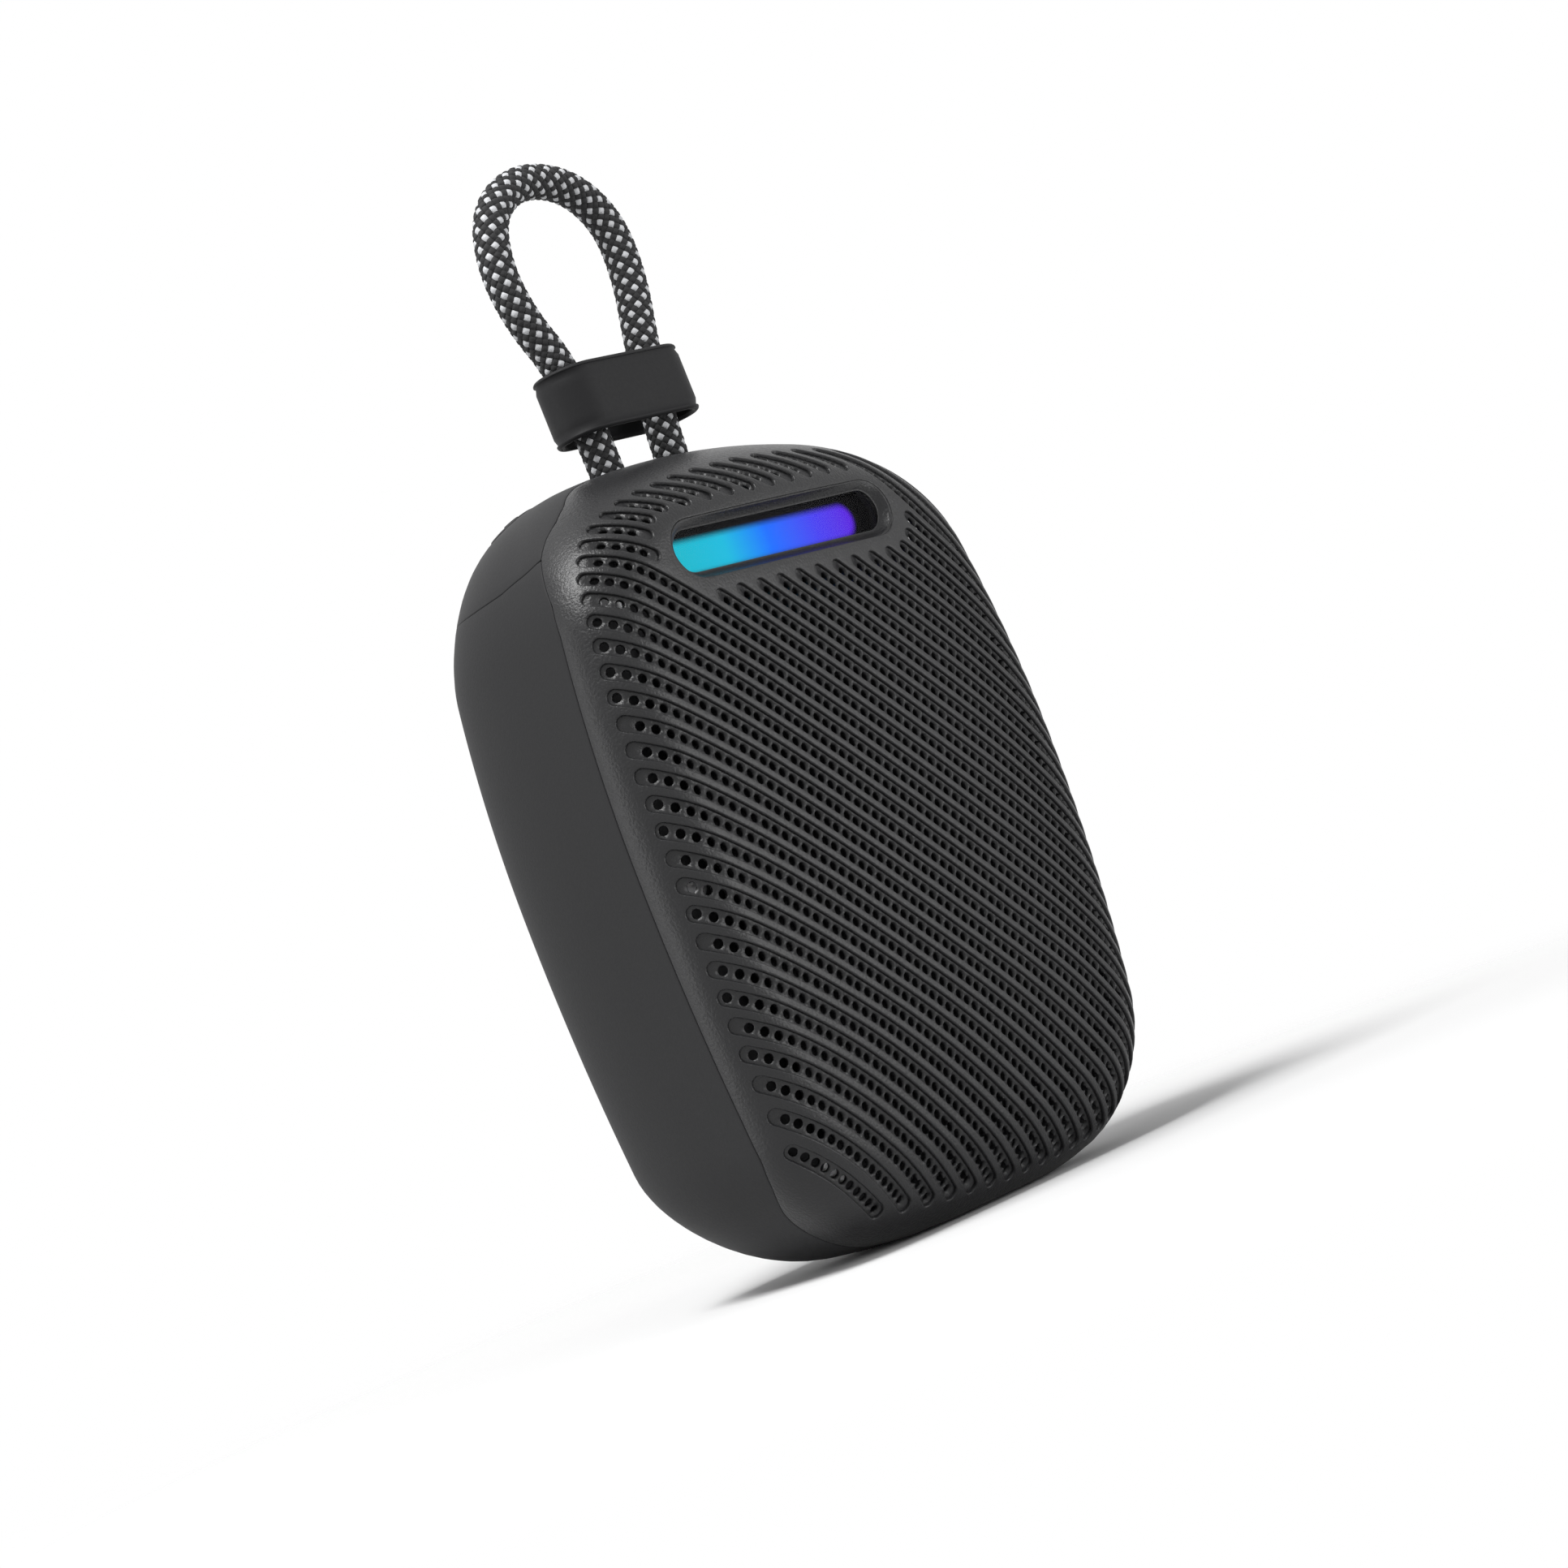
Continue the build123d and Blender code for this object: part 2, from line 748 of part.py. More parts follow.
with BuildPart() as driver_surround:
    with BuildSketch(Plane.YZ):
        with Locations((surround_back_y, driver_z + roll_middle)):
            Circle(roll_radius)
            Circle(roll_radius - surround_thickness, mode=Mode.SUBTRACT)
        with Locations((surround_back_y + body_depth / 2, driver_z)):
            Rectangle(body_depth, 2 * body_height, mode=Mode.SUBTRACT)
        with Locations((surround_back_y, driver_z + surround_outer_radius)):
            Rectangle(
                surround_thickness,
                surround_outer_radius - surround_land_radius + surround_thickness,
                align=(Align.MAX, Align.MAX),
            )
    revolve(axis=driver_axis)
save(driver_surround, "driver_surround")

cone_slope = cone_depth / (cone_outer_radius - coil_outer_radius)


def cone_front(radius):
    return coil_front_y - cone_thickness - cone_slope * (radius - coil_outer_radius)


with BuildPart() as driver_cone:
    neck_radius = coil_outer_radius + 0.05
    add(
        turned(
            [
                (coil_front_y, neck_radius),
                (coil_front_y - cone_depth, cone_outer_radius),
                (coil_front_y - cone_depth - cone_thickness, cone_outer_radius),
                (coil_front_y - cone_thickness, neck_radius),
            ]
        )
    )
save(driver_cone, "driver_cone")

with BuildPart() as driver_dust_cap:
    cap_y = cone_front(cap_radius) - 0.1
    cap_sphere = (cap_radius**2 + cap_rise**2) / (2 * cap_rise)
    with Locations((0, cap_y - cap_rise + cap_sphere, driver_z)):
        Sphere(cap_sphere)
        Sphere(cap_sphere - cone_thickness, mode=Mode.SUBTRACT)
    add(ring(cap_radius + 1, 0, cap_y - 2 * cap_rise, cap_y, z=driver_z), mode=Mode.INTERSECT)
save(driver_dust_cap, "driver_dust_cap")

with BuildPart() as voice_coil:
    add(ring(coil_outer_radius, coil_inner_radius, coil_front_y - 0.5, coil_back_y, z=driver_z))
save(voice_coil, "voice_coil")

with BuildPart() as driver_spider:
    folds = 4
    fold_width = (spider_radius - coil_outer_radius - moving_gap) / (2 * folds + 1)
    front_line = []
    for fold in range(2 * folds + 2):
        wave = 0.4 if fold % 2 else 0.0
        if fold > 2 * folds - 1:
            wave = 0.0
        front_line.append((spider_y - 0.45 - wave, coil_outer_radius + moving_gap + fold * fold_width))
    back_line = [(y + spider_thickness, radius) for y, radius in reversed(front_line)]
    add(turned(front_line + back_line))
save(driver_spider, "driver_spider")

with BuildPart() as driver_top_plate:
    add(ring(magnet_radius - 0.5, plate_bore_radius, top_plate_y, magnet_y, z=driver_z))
save(driver_top_plate, "driver_top_plate")

with BuildPart() as driver_magnet:
    add(ring(magnet_radius + 1, 10, magnet_y, yoke_y, z=driver_z))
    fillet(driver_magnet.edges().filter_by(GeomType.CIRCLE).group_by(SortBy.LENGTH)[-1], 0.4)
save(driver_magnet, "driver_magnet")

with BuildPart() as driver_yoke:
    add(ring(magnet_radius, 0, yoke_y, yoke_back_y, z=driver_z))
    add(ring(pole_radius, 0, top_plate_y, yoke_y, z=driver_z))
save(driver_yoke, "driver_yoke")

with BuildPart() as driver_screws:
    for turn in range(4):
        angle = radians(45 + 90 * turn)
        add(
            screw(
                screw_circle_radius * cos(angle),
                driver_z + screw_circle_radius * sin(angle),
                flange_front_y - 1.1,
                5.2,
                board_screw_radius - 0.1,
                1.7,
                1.1,
            )
        )
save(driver_screws, "driver_screws")

# ---------------------------------------------------------------- passive radiator

with BuildPart() as radiator_surround:
    rim_y = baffle_front_y - surround_thickness
    length = radiator_length - 0.4
    height = radiator_height - 0.4
    hollow = 2 * (radiator_roll - surround_thickness)
    add(stadium_block(length, height, rim_y - surround_rise, baffle_front_y, z=radiator_z))
    add(
        stadium_block(
            length - 2 * radiator_roll,
            height - 2 * radiator_roll,
            rim_y - surround_rise,
            baffle_front_y,
            z=radiator_z,
        ),
        mode=Mode.SUBTRACT,
    )
    fillet(radiator_surround.faces().sort_by(Axis.Y)[0].edges(), surround_rise)
    with BuildSketch(facing(baffle_front_y)):
        with Locations((0, radiator_z)):
            SlotOverall(length - 2 * surround_thickness, height - 2 * surround_thickness)
            SlotOverall(length - hollow, height - hollow, mode=Mode.SUBTRACT)
    extrude(amount=surround_rise, taper=20, mode=Mode.SUBTRACT)
    with BuildSketch(facing(baffle_front_y)):
        with Locations((0, radiator_z)):
            SlotOverall(length + 2 * radiator_land, height + 2 * radiator_land)
            SlotOverall(length - 0.1, height - 0.1, mode=Mode.SUBTRACT)
    extrude(amount=surround_thickness)
save(radiator_surround, "radiator_surround")

with BuildPart() as radiator_plate:
    plate_length = length - 2 * radiator_roll - 2 * moving_gap
    plate_height = height - 2 * radiator_roll - 2 * moving_gap
    plate_front_y = baffle_front_y - radiator_plate_thickness
    add(stadium_block(plate_length, plate_height, plate_front_y, baffle_front_y, z=radiator_z))
    fillet(radiator_plate.faces().sort_by(Axis.Y)[0].edges(), 0.5)
save(radiator_plate, "radiator_plate")

# ---------------------------------------------------------------- battery

with BuildPart() as battery_cell:
    with Locations((0, cell_y, cell_z)):
        Cylinder(cell_radius, cell_length, rotation=(0, 90, 0))
    fillet(battery_cell.edges().filter_by(GeomType.CIRCLE), 0.8)
save(battery_cell, "battery_cell")

with BuildPart() as battery_tray:
    tray_depth = rear_y - cell_y
    with Locations((0, cell_y + tray_depth / 2, cell_z)):
        Box(cell_length - 6, tray_depth, 15)
    add(cavity_form, mode=Mode.INTERSECT)
    with Locations((0, cell_y, cell_z)):
        Cylinder(cell_radius + cell_gap, body_width, rotation=(0, 90, 0), mode=Mode.SUBTRACT)
    with Locations((0, rear_y - wall, cell_z)):
        Box(cell_length - 12, 5, 9, mode=Mode.SUBTRACT)
save(battery_tray, "battery_tray")

with BuildPart() as battery_foam:
    foam_depth = cell_y - baffle_back_y - 2 * cell_gap
    with Locations((-28.5, baffle_back_y + cell_gap + foam_depth / 2, cell_z)):
        Box(5, foam_depth, 10)
    with Locations((28.5, baffle_back_y + cell_gap + foam_depth / 2, cell_z)):
        Box(5, foam_depth, 10)
    with Locations((0, cell_y, cell_z)):
        Cylinder(cell_radius + cell_gap, body_width, rotation=(0, 90, 0), mode=Mode.SUBTRACT)
save(battery_foam, "battery_foam")

# ---------------------------------------------------------------- main board


def board_block(x, z, width, height, thickness):
    """A component on the rear side of the main board."""
    with BuildPart() as piece:
        with BuildSketch(facing(board_back_y + thickness)):
            with Locations((x, z)):
                Rectangle(width, height)
        extrude(amount=thickness)
    return piece.part


with BuildPart() as main_board:
    with BuildSketch(facing(board_back_y)):
        with Locations((0, board_mid_z)):
            RectangleRounded(board_width, board_top_z - board_bottom_z, 3)
            with GridLocations(2 * board_post_x, board_post_spread, 2, 2):
                Circle(board_screw_radius + running_gap, mode=Mode.SUBTRACT)
    extrude(amount=board_thickness)
save(main_board, "main_board")

with BuildPart() as board_screws:
    for side in (-1, 1):
        for end in (-1, 1):
            add(
                screw(
                    side * board_post_x,
                    board_mid_z + end * board_post_spread / 2,
                    board_y - 1.2,
                    board_thickness + board_screw_length - 0.5,
                    board_screw_radius,
                    1.9,
                    1.2,
                )
            )
save(board_screws, "board_screws")

with BuildPart() as amplifier_chip:
    add(board_block(-12, 60, 5, 5, 0.9))
save(amplifier_chip, "amplifier_chip")

with BuildPart() as radio_module:
    add(board_block(11, 78, 12, 15, 0.8))
    with BuildSketch(facing(board_back_y + 2.2)):
        with Locations((11, 76.5)):
            RectangleRounded(10.6, 10.6, 0.6)
    extrude(amount=1.4)
save(radio_module, "radio_module")

with BuildPart() as board_capacitors:
    with BuildSketch(facing(board_back_y + 4.6)):
        with Locations((-12, 74)):
            with GridLocations(6, 1, 3, 1):
                Circle(2)
    extrude(amount=4.6)
    fillet(board_capacitors.faces().sort_by(Axis.Y)[-3:].edges(), 0.3)
save(board_capacitors, "board_capacitors")

with BuildPart() as board_coils:
    for x in (-14, -8):
        add(board_block(x, 68, 4.2, 4.2, 2.0))
save(board_coils, "board_coils")

with BuildPart() as microphone:
    add(board_block(microphone_x, port_z, 3.5, 2.8, 1.1))
save(microphone, "microphone")

with BuildPart() as status_light:
    add(ring(status_radius, 0, board_back_y + 0.2, rear_y, x=status_x, z=port_z))
save(status_light, "status_light")

# ---------------------------------------------------------------- charging port

with BuildPart() as charge_port:
    mouth_y = rear_y - port_inset
    add(stadium_block(port_width, port_height, board_back_y, mouth_y, x=port_x, z=port_z))
    add(
        stadium_block(
            port_width - 2 * port_wall,
            port_height - 2 * port_wall,
            board_back_y + 1,
            mouth_y,
            x=port_x,
            z=port_z,
        ),
        mode=Mode.SUBTRACT,
    )
    with Locations((port_x, board_back_y + 2.6, port_z)):
        Box(6.6, 3.4, 0.7)
save(charge_port, "charge_port")

with BuildPart() as port_flap:
    plate_y = rear_y - flap_thickness
    add(flap_block(0, plate_y, rear_y))
    add(
        stadium_block(
            flap_tab_length, flap_tab_height, plate_y - flap_tab_depth, plate_y, x=port_x, z=port_z
        )
    )
    with Locations((port_x, flap_axis_y, flap_axis_z)):
        Cylinder(flap_barrel_radius, flap_barrel_length, rotation=(0, 90, 0))
        Cylinder(flap_pin_radius + 0.05, flap_length, rotation=(0, 90, 0), mode=Mode.SUBTRACT)
save(port_flap, "port_flap")

with BuildPart() as port_flap_pin:
    with Locations((port_x, flap_axis_y, flap_axis_z)):
        Cylinder(flap_pin_radius, flap_pin_length, rotation=(0, 90, 0))
save(port_flap_pin, "port_flap_pin")

# ---------------------------------------------------------------- controls

button_outer = skin(-button_rise, wall + 0.9)
button_inner = skin(wall + 0.1, wall + 0.9)
button_core = speaker_form(wall + 0.5)


def pill(x, grow):
    """An upright round-ended bar through the top cover at a button's place."""
    with BuildPart() as bar:
        with BuildSketch(Plane.XY.offset(key_board_top_z)):
            with Locations((x, button_y)):
                SlotOverall(button_length + 2 * grow, button_depth + 2 * grow)
        extrude(amount=outline_top)
    return bar.part


def stem(x):
    """The peg under a button, standing just clear of its switch."""
    with BuildPart() as peg:
        with BuildSketch(Plane.XY.offset(switch_top_z + button_travel + 0.05)):
            with Locations((x, button_y)):
                Circle(stem_radius)
        extrude(amount=outline_top)
    return peg.part


for x, name in zip(button_places, button_names):
    with BuildPart() as button:
        add(pill(x, button_lip))
        add(button_inner, mode=Mode.INTERSECT)
        add(pill(x, 0) & button_outer)
        add(stem(x) & button_core)
    save(button, name)

with BuildPart() as key_board:
    board_depth = key_board_back_y - key_board_front_y
    with Locations((0, key_board_front_y + board_depth / 2, key_board_z + key_board_thickness / 2)):
        Box(2 * key_board_half_width, board_depth, key_board_thickness)
    with Locations(
        (key_boss_x, key_boss_y + 0.2, key_board_z + key_board_thickness / 2),
        (-key_boss_x, key_boss_y + 0.2, key_board_z + key_board_thickness / 2),
    ):
        Box(key_ear_width, key_ear_depth, key_board_thickness)
    add(cavity_form, mode=Mode.INTERSECT)
    with BuildSketch(Plane.XY.offset(key_board_z)):
        with Locations((key_boss_x, key_boss_y), (-key_boss_x, key_boss_y)):
            Circle(key_screw_radius + running_gap)
    extrude(amount=key_board_thickness, mode=Mode.SUBTRACT)
save(key_board, "key_board")

with BuildPart() as key_board_screws:
    for side in (-1, 1):
        with Locations((side * key_boss_x, key_boss_y, key_board_z - 0.5)):
            Cylinder(1.6, 1.0)
        with BuildSketch(Plane.XY.offset(key_board_z)):
            with Locations((side * key_boss_x, key_boss_y)):
                Circle(key_screw_radius)
        extrude(amount=key_board_thickness + key_boss_hole - 0.4)
save(key_board_screws, "key_board_screws")

with BuildPart() as key_switches:
    with BuildSketch(Plane.XY.offset(key_board_top_z)):
        with Locations((0, button_y)):
            with GridLocations(button_pitch, 1, 5, 1):
                Rectangle(switch_size, switch_size)
    extrude(amount=switch_height - 1.0)
    with BuildSketch(Plane.XY.offset(switch_top_z - 1.0)):
        with Locations((0, button_y)):
            with GridLocations(button_pitch, 1, 5, 1):
                Circle(1.2)
    extrude(amount=1.0)
save(key_switches, "key_switches")

with BuildPart() as key_seal:
    seal_z = switch_top_z + 0.2
    with BuildSketch(Plane.XY.offset(seal_z)):
        with Locations((0, button_y)):
            Rectangle(4 * button_pitch + 2 * stem_radius + 2.6, switch_size)
            with GridLocations(button_pitch, 1, 5, 1):
                Circle(stem_radius + 0.2, mode=Mode.SUBTRACT)
    extrude(amount=seal_thickness)
    add(cavity_form, mode=Mode.INTERSECT)
save(key_seal, "key_seal")

# ---------------------------------------------------------------- rope loop

rope_ends = [(rope_spacing / 2, rope_y), (-rope_spacing / 2, rope_y)]
anchor_screws_at = [(anchor_screw_x, rope_y), (-anchor_screw_x, rope_y)]

with BuildPart() as strap_anchor:
    with BuildSketch(Plane.XY.offset(anchor_top_z)):
        with Locations((0, rope_y)):
            RectangleRounded(anchor_width, anchor_depth, 1)
    extrude(amount=-anchor_height)
    with BuildSketch(Plane.XY.offset(anchor_top_z)):
        with Locations((0, rope_y)):
            SlotOverall(2 * anchor_screw_x + anchor_depth, anchor_depth)
    extrude(amount=-anchor_ear_thickness)
    with BuildSketch(Plane.XY.offset(anchor_top_z)):
        with Locations(*rope_ends):
            Circle(rope_radius + 0.05)
    extrude(amount=-rope_seat, mode=Mode.SUBTRACT)
    with BuildSketch(Plane.XY.offset(anchor_top_z)):
        with Locations(*anchor_screws_at):
            Circle(screw_radius + running_gap)
    extrude(amount=-anchor_height, mode=Mode.SUBTRACT)
save(strap_anchor, "strap_anchor")

with BuildPart() as anchor_screws:
    ear_z = anchor_top_z - anchor_ear_thickness
    with BuildSketch(Plane.XY.offset(ear_z)):
        with Locations(*anchor_screws_at):
            Circle(screw_head_radius)
    extrude(amount=-screw_head_height)
    with BuildSketch(Plane.XY.offset(ear_z)):
        with Locations(*anchor_screws_at):
            Circle(screw_radius)
    extrude(amount=anchor_ear_thickness + anchor_boss_hole - 0.6)
save(anchor_screws, "anchor_screws")

# The loop's corner points (X, Z), chosen by hand: up one leg, round the top, down the other
rope_end_z = anchor_top_z - rope_seat
rope_route = [
    (-6.7, rope_end_z),
    (-6.7, 121.5),
    (-8.0, 135.1),
    (-11.9, 142.5),
    (-13.3, 151.0),
    (-10.6, 159.6),
    (-2.6, 164.0),
    (6.8, 162.4),
    (12.3, 155.9),
    (12.4, 146.6),
    (9.5, 136.0),
    (6.7, 121.5),
    (6.7, rope_end_z),
]


def corner_radii(points):
    """The largest tidy radius at each corner of a route: 0.45 of the shorter run over tan(turn / 2)."""
    radii = []
    for before, here, after in zip(points, points[1:], points[2:]):
        run_in = here - before
        run_out = after - here
        turn = radians(run_in.get_angle(run_out))
        shorter = min(run_in.length, run_out.length)
        radii.append(0.45 * shorter / (sin(turn / 2) / cos(turn / 2)))
    return radii


def tube(points, radius, name):
    """A round tube along straight runs joined by tangent arcs."""
    radii = corner_radii(points)
    with BuildPart() as piece:
        with BuildLine() as route:
            FilletPolyline(*points, radius=radii)
        with BuildSketch(Plane(origin=points[0], z_dir=points[1] - points[0])):
            Circle(radius)
        sweep(path=route.wire())
    length = route.wire().length
    ratio = piece.part.volume / (pi * radius**2 * length)
    print(name, "radii", [round(value, 1) for value in radii])
    print(name, "length", round(length, 1), "volume / (section x length)", round(ratio, 4))
    return piece.part


with BuildPart() as strap_loop:
    add(tube([Vector(x, rope_y, z) for x, z in rope_route], rope_radius, "strap_loop"))
save(strap_loop, "strap_loop")

slider_turn = radians(slider_tilt)
slider_plane = Plane(
    origin=(slider_x, rope_y, slider_z),
    x_dir=(cos(slider_turn), 0, sin(slider_turn)),
    z_dir=(-sin(slider_turn), 0, cos(slider_turn)),
)

with BuildPart() as strap_slider:
    with BuildSketch(slider_plane):
        SlotOverall(slider_width, slider_depth)
    extrude(amount=slider_height)
    fillet(strap_slider.edges().group_by(Axis.Z)[0], 0.6)
    fillet(strap_slider.faces().sort_by(Axis.Z)[-1].edges(), 0.6)
    with BuildSketch(slider_plane):
        SlotOverall(slider_width - 2 * slider_wall, slider_depth - 2 * slider_wall)
    extrude(amount=slider_height, mode=Mode.SUBTRACT)
save(strap_slider, "strap_slider")

# ---------------------------------------------------------------- leads inside

lead_routes = {
    "battery_lead": [
        Vector(cell_length / 2, cell_y, cell_z),
        Vector(cell_length / 2 + 3.2, cell_y, cell_z),
        Vector(cell_length / 2 + 2.6, cell_y + 1.5, cell_z + 9),
        Vector(27, cell_y + 2.0, cell_z + 16),
        Vector(16, cell_y + 2.6, cell_z + 21),
        Vector(16, board_y, cell_z + 21),
    ],
    "speaker_lead": [
        Vector(-18.9, -9, driver_z),
        Vector(-22.5, -9, driver_z),
        Vector(-26, -3, driver_z - 2),
        Vector(-26, 4.5, driver_z - 5),
        Vector(-20, 8.6, driver_z - 8),
        Vector(-20, board_y, driver_z - 8),
    ],
    "light_lead": [
        Vector(12, bezel_back_y, window_z),
        Vector(12, bezel_back_y + 5, window_z),
        Vector(12, 3, window_z - 4),
        Vector(12, 8.5, window_z - 10.5),
        Vector(12, board_y, window_z - 10.5),
    ],
}
for name, points in lead_routes.items():
    with BuildPart() as lead:
        add(tube(points, lead_radius, name))
    save(lead, name)
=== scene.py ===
import bpy
import json
import math
import numpy as np
from mathutils import Matrix, Vector, geometry

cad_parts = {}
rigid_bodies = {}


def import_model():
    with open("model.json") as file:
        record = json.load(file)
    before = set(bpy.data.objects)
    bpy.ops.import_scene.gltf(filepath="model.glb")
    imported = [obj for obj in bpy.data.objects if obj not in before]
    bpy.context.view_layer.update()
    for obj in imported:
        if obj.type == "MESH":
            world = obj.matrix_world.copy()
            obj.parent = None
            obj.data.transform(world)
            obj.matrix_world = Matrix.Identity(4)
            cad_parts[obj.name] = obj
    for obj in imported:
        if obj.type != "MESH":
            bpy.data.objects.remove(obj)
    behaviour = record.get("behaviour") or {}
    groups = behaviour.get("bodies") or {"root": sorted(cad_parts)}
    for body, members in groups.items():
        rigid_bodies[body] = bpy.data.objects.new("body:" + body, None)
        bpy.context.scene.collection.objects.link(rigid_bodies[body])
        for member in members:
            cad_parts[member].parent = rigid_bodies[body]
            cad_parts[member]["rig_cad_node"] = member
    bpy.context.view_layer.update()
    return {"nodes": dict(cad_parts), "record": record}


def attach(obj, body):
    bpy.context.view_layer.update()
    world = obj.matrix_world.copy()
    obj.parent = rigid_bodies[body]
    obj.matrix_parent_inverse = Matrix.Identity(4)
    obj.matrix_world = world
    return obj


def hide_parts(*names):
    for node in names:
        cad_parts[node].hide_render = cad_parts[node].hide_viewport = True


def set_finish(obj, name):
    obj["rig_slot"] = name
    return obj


# A portable shower speaker: a grooved grille over a rounded body, a light bar, five keys
# on top, and a braided rope loop with a sliding band.
# The model is worked out in millimetres and goes into Blender in metres (see put).

for stray in list(bpy.data.objects):
    bpy.data.objects.remove(stray)
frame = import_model()
nodes = frame["nodes"]

MM = 0.001
MID_Z = 61.7  # height of the middle of the front face

# ---------------------------------------------------------------- camera

azimuth, tilt, roll = math.radians(45.6), math.radians(-3.0), math.radians(21.0)
distance = 0.5105
back = Vector((-math.sin(azimuth) * math.cos(tilt), -math.cos(azimuth) * math.cos(tilt), math.sin(tilt)))
level = Vector((math.cos(azimuth), -math.sin(azimuth), 0))
upward = Vector((math.sin(azimuth) * math.sin(tilt), math.cos(azimuth) * math.sin(tilt), math.cos(tilt)))
right = level * math.cos(roll) + upward * -math.sin(roll)
up = level * math.sin(roll) + upward * math.cos(roll)
camera_data = bpy.data.cameras.new("camera")
camera = bpy.data.objects.new("camera", camera_data)
bpy.context.scene.collection.objects.link(camera)
stand = Matrix.Translation(Vector((0, 0, MID_Z * MM)) + back * distance)
camera.matrix_world = stand @ Matrix((right, up, back)).transposed().to_4x4()
camera_data.sensor_width = 36
camera_data.lens = 80.5
camera_data.shift_x = -0.0031
camera_data.shift_y = 0.0225
camera_data.clip_start = 0.02
camera_data.clip_end = 20
bpy.context.scene.camera = camera

# ---------------------------------------------------------------- rope line

ROPE_Y = 2.6
ROPE_RADIUS = 2.7
CORE_RADIUS = 2.3  # of the plain cord under the braid
LEG_X = 6.7  # of the two legs where they enter the top
ROPE_ROUTE = [
    (-6.7, 108.0), (-6.7, 121.5), (-8.0, 135.1), (-11.9, 142.5), (-13.3, 151.0), (-10.6, 159.6),
    (-2.6, 164.0), (6.8, 162.4), (12.3, 155.9), (12.4, 146.6), (9.5, 136.0), (6.7, 121.5), (6.7, 108.0),
]
rope_curve = bpy.data.curves.new("strap_core", "CURVE")
rope_curve.dimensions = "3D"
spline = rope_curve.splines.new("NURBS")
spline.points.add(len(ROPE_ROUTE) - 1)
for point, (x, z) in zip(spline.points, ROPE_ROUTE):
    point.co = (x * MM, ROPE_Y * MM, z * MM, 1)
    point.radius = CORE_RADIUS * MM
spline.order_u = 3
spline.use_endpoint_u = True
spline.resolution_u = 24
probe = bpy.data.objects.new("probe", rope_curve.copy())
bare = bpy.data.meshes.new_from_object(probe)
rope_line = np.array([v.co for v in bare.vertices]) / MM
bpy.data.meshes.remove(bare)
bpy.data.objects.remove(probe)
rope_curve.bevel_depth = 1.0  # times the points' own radius
rope_curve.bevel_resolution = 5
strap_core = bpy.data.objects.new("strap_core", rope_curve)
bpy.context.scene.collection.objects.link(strap_core)
rope_length = float(np.linalg.norm(np.diff(rope_line, axis=0), axis=1).sum())

# ---------------------------------------------------------------- form of the body

HALF, HIGH, LOW = 43.0, 56.4, 62.4  # half width, and reach above and below the middle
TOP_ROUND, LOW_ROUND = 27.4, 22.4
SIDE_SWELL, TOP_SWELL, LOW_SWELL = 2.2, 1.06, 1.5
FRONT, REAR = -22.0, 22.0
FLAT_Z = 0.3  # the lower end is cut off level here, round the foot


def quarter(corner, reach, swell, count=90):
    """A quarter of the outline: side arc, corner, end arc."""
    side, end = HALF - corner, reach - corner
    half = end - swell
    bend = (half * half + SIDE_SWELL**2) / (2 * SIDE_SWELL)
    rise = np.linspace(0, half, count)
    turn = np.arcsin(rise / bend)
    bulge = side - SIDE_SWELL + np.sqrt(bend**2 - rise**2) - bend + SIDE_SWELL
    flank = np.stack([bulge + corner * np.cos(turn), rise + corner * np.sin(turn)], 1)
    across = side - SIDE_SWELL
    bow = (across**2 + swell**2) / (2 * swell)
    run = np.linspace(across, 0, count)
    lean = np.arcsin(run / bow)
    dome = end - swell + np.sqrt(bow**2 - run**2) - bow + swell
    lid = np.stack([run + corner * np.sin(lean), dome + corner * np.cos(lean)], 1)
    angle = np.linspace(turn[-1], math.pi / 2 - lean[0], count)
    elbow = np.stack([across + corner * np.cos(angle), end - swell + corner * np.sin(angle)], 1)
    return np.concatenate([flank, elbow[1:], lid[1:]])


upper = quarter(TOP_ROUND, HIGH, TOP_SWELL)
lower = quarter(LOW_ROUND, LOW, LOW_SWELL) * [1, -1]
loop = np.concatenate([upper, (upper * [-1, 1])[::-1][1:], (lower * [-1, 1])[1:], lower[::-1][1:]])
run = np.concatenate([[0], np.cumsum(np.linalg.norm(np.diff(loop, axis=0), axis=1))])
GIRTH = run[-1]


def at(s):
    """Outline point at a share s of the girth: 0 at +X, a half at -X."""
    s = np.mod(s, 1.0) * GIRTH
    return np.stack([np.interp(s, run, loop[:, 0]), np.interp(s, run, loop[:, 1])], -1)


def outward(s):
    along = at(s + 1e-3) - at(s - 1e-3)
    n = np.stack([along[..., 1], -along[..., 0]], -1)
    return n / np.linalg.norm(n, axis=-1, keepdims=True)


def by_side(n, side, top, low):
    z2 = n[..., 1] ** 2
    return np.where(n[..., 1] > 0, side + (top - side) * z2, side + (low - side) * z2)


def crown(x, z):
    return FRONT + 1.9 * (x / HALF) ** 2 + 3.4 * (z / LOW) ** 2


def front_roll(n):
    return by_side(n, 9.0, 13.8, 12.0), by_side(n, 7.7, 23.1, 9.3)


def rear_roll(n):
    z2 = n[..., 1] ** 2
    shoulder = np.where(n[..., 1] > 0, 10.4 * z2 * (1 - z2), 0)
    return by_side(n, 10.0, 7.0, 19.5) + shoulder, by_side(n, 23.0, 17.5, 22.0)


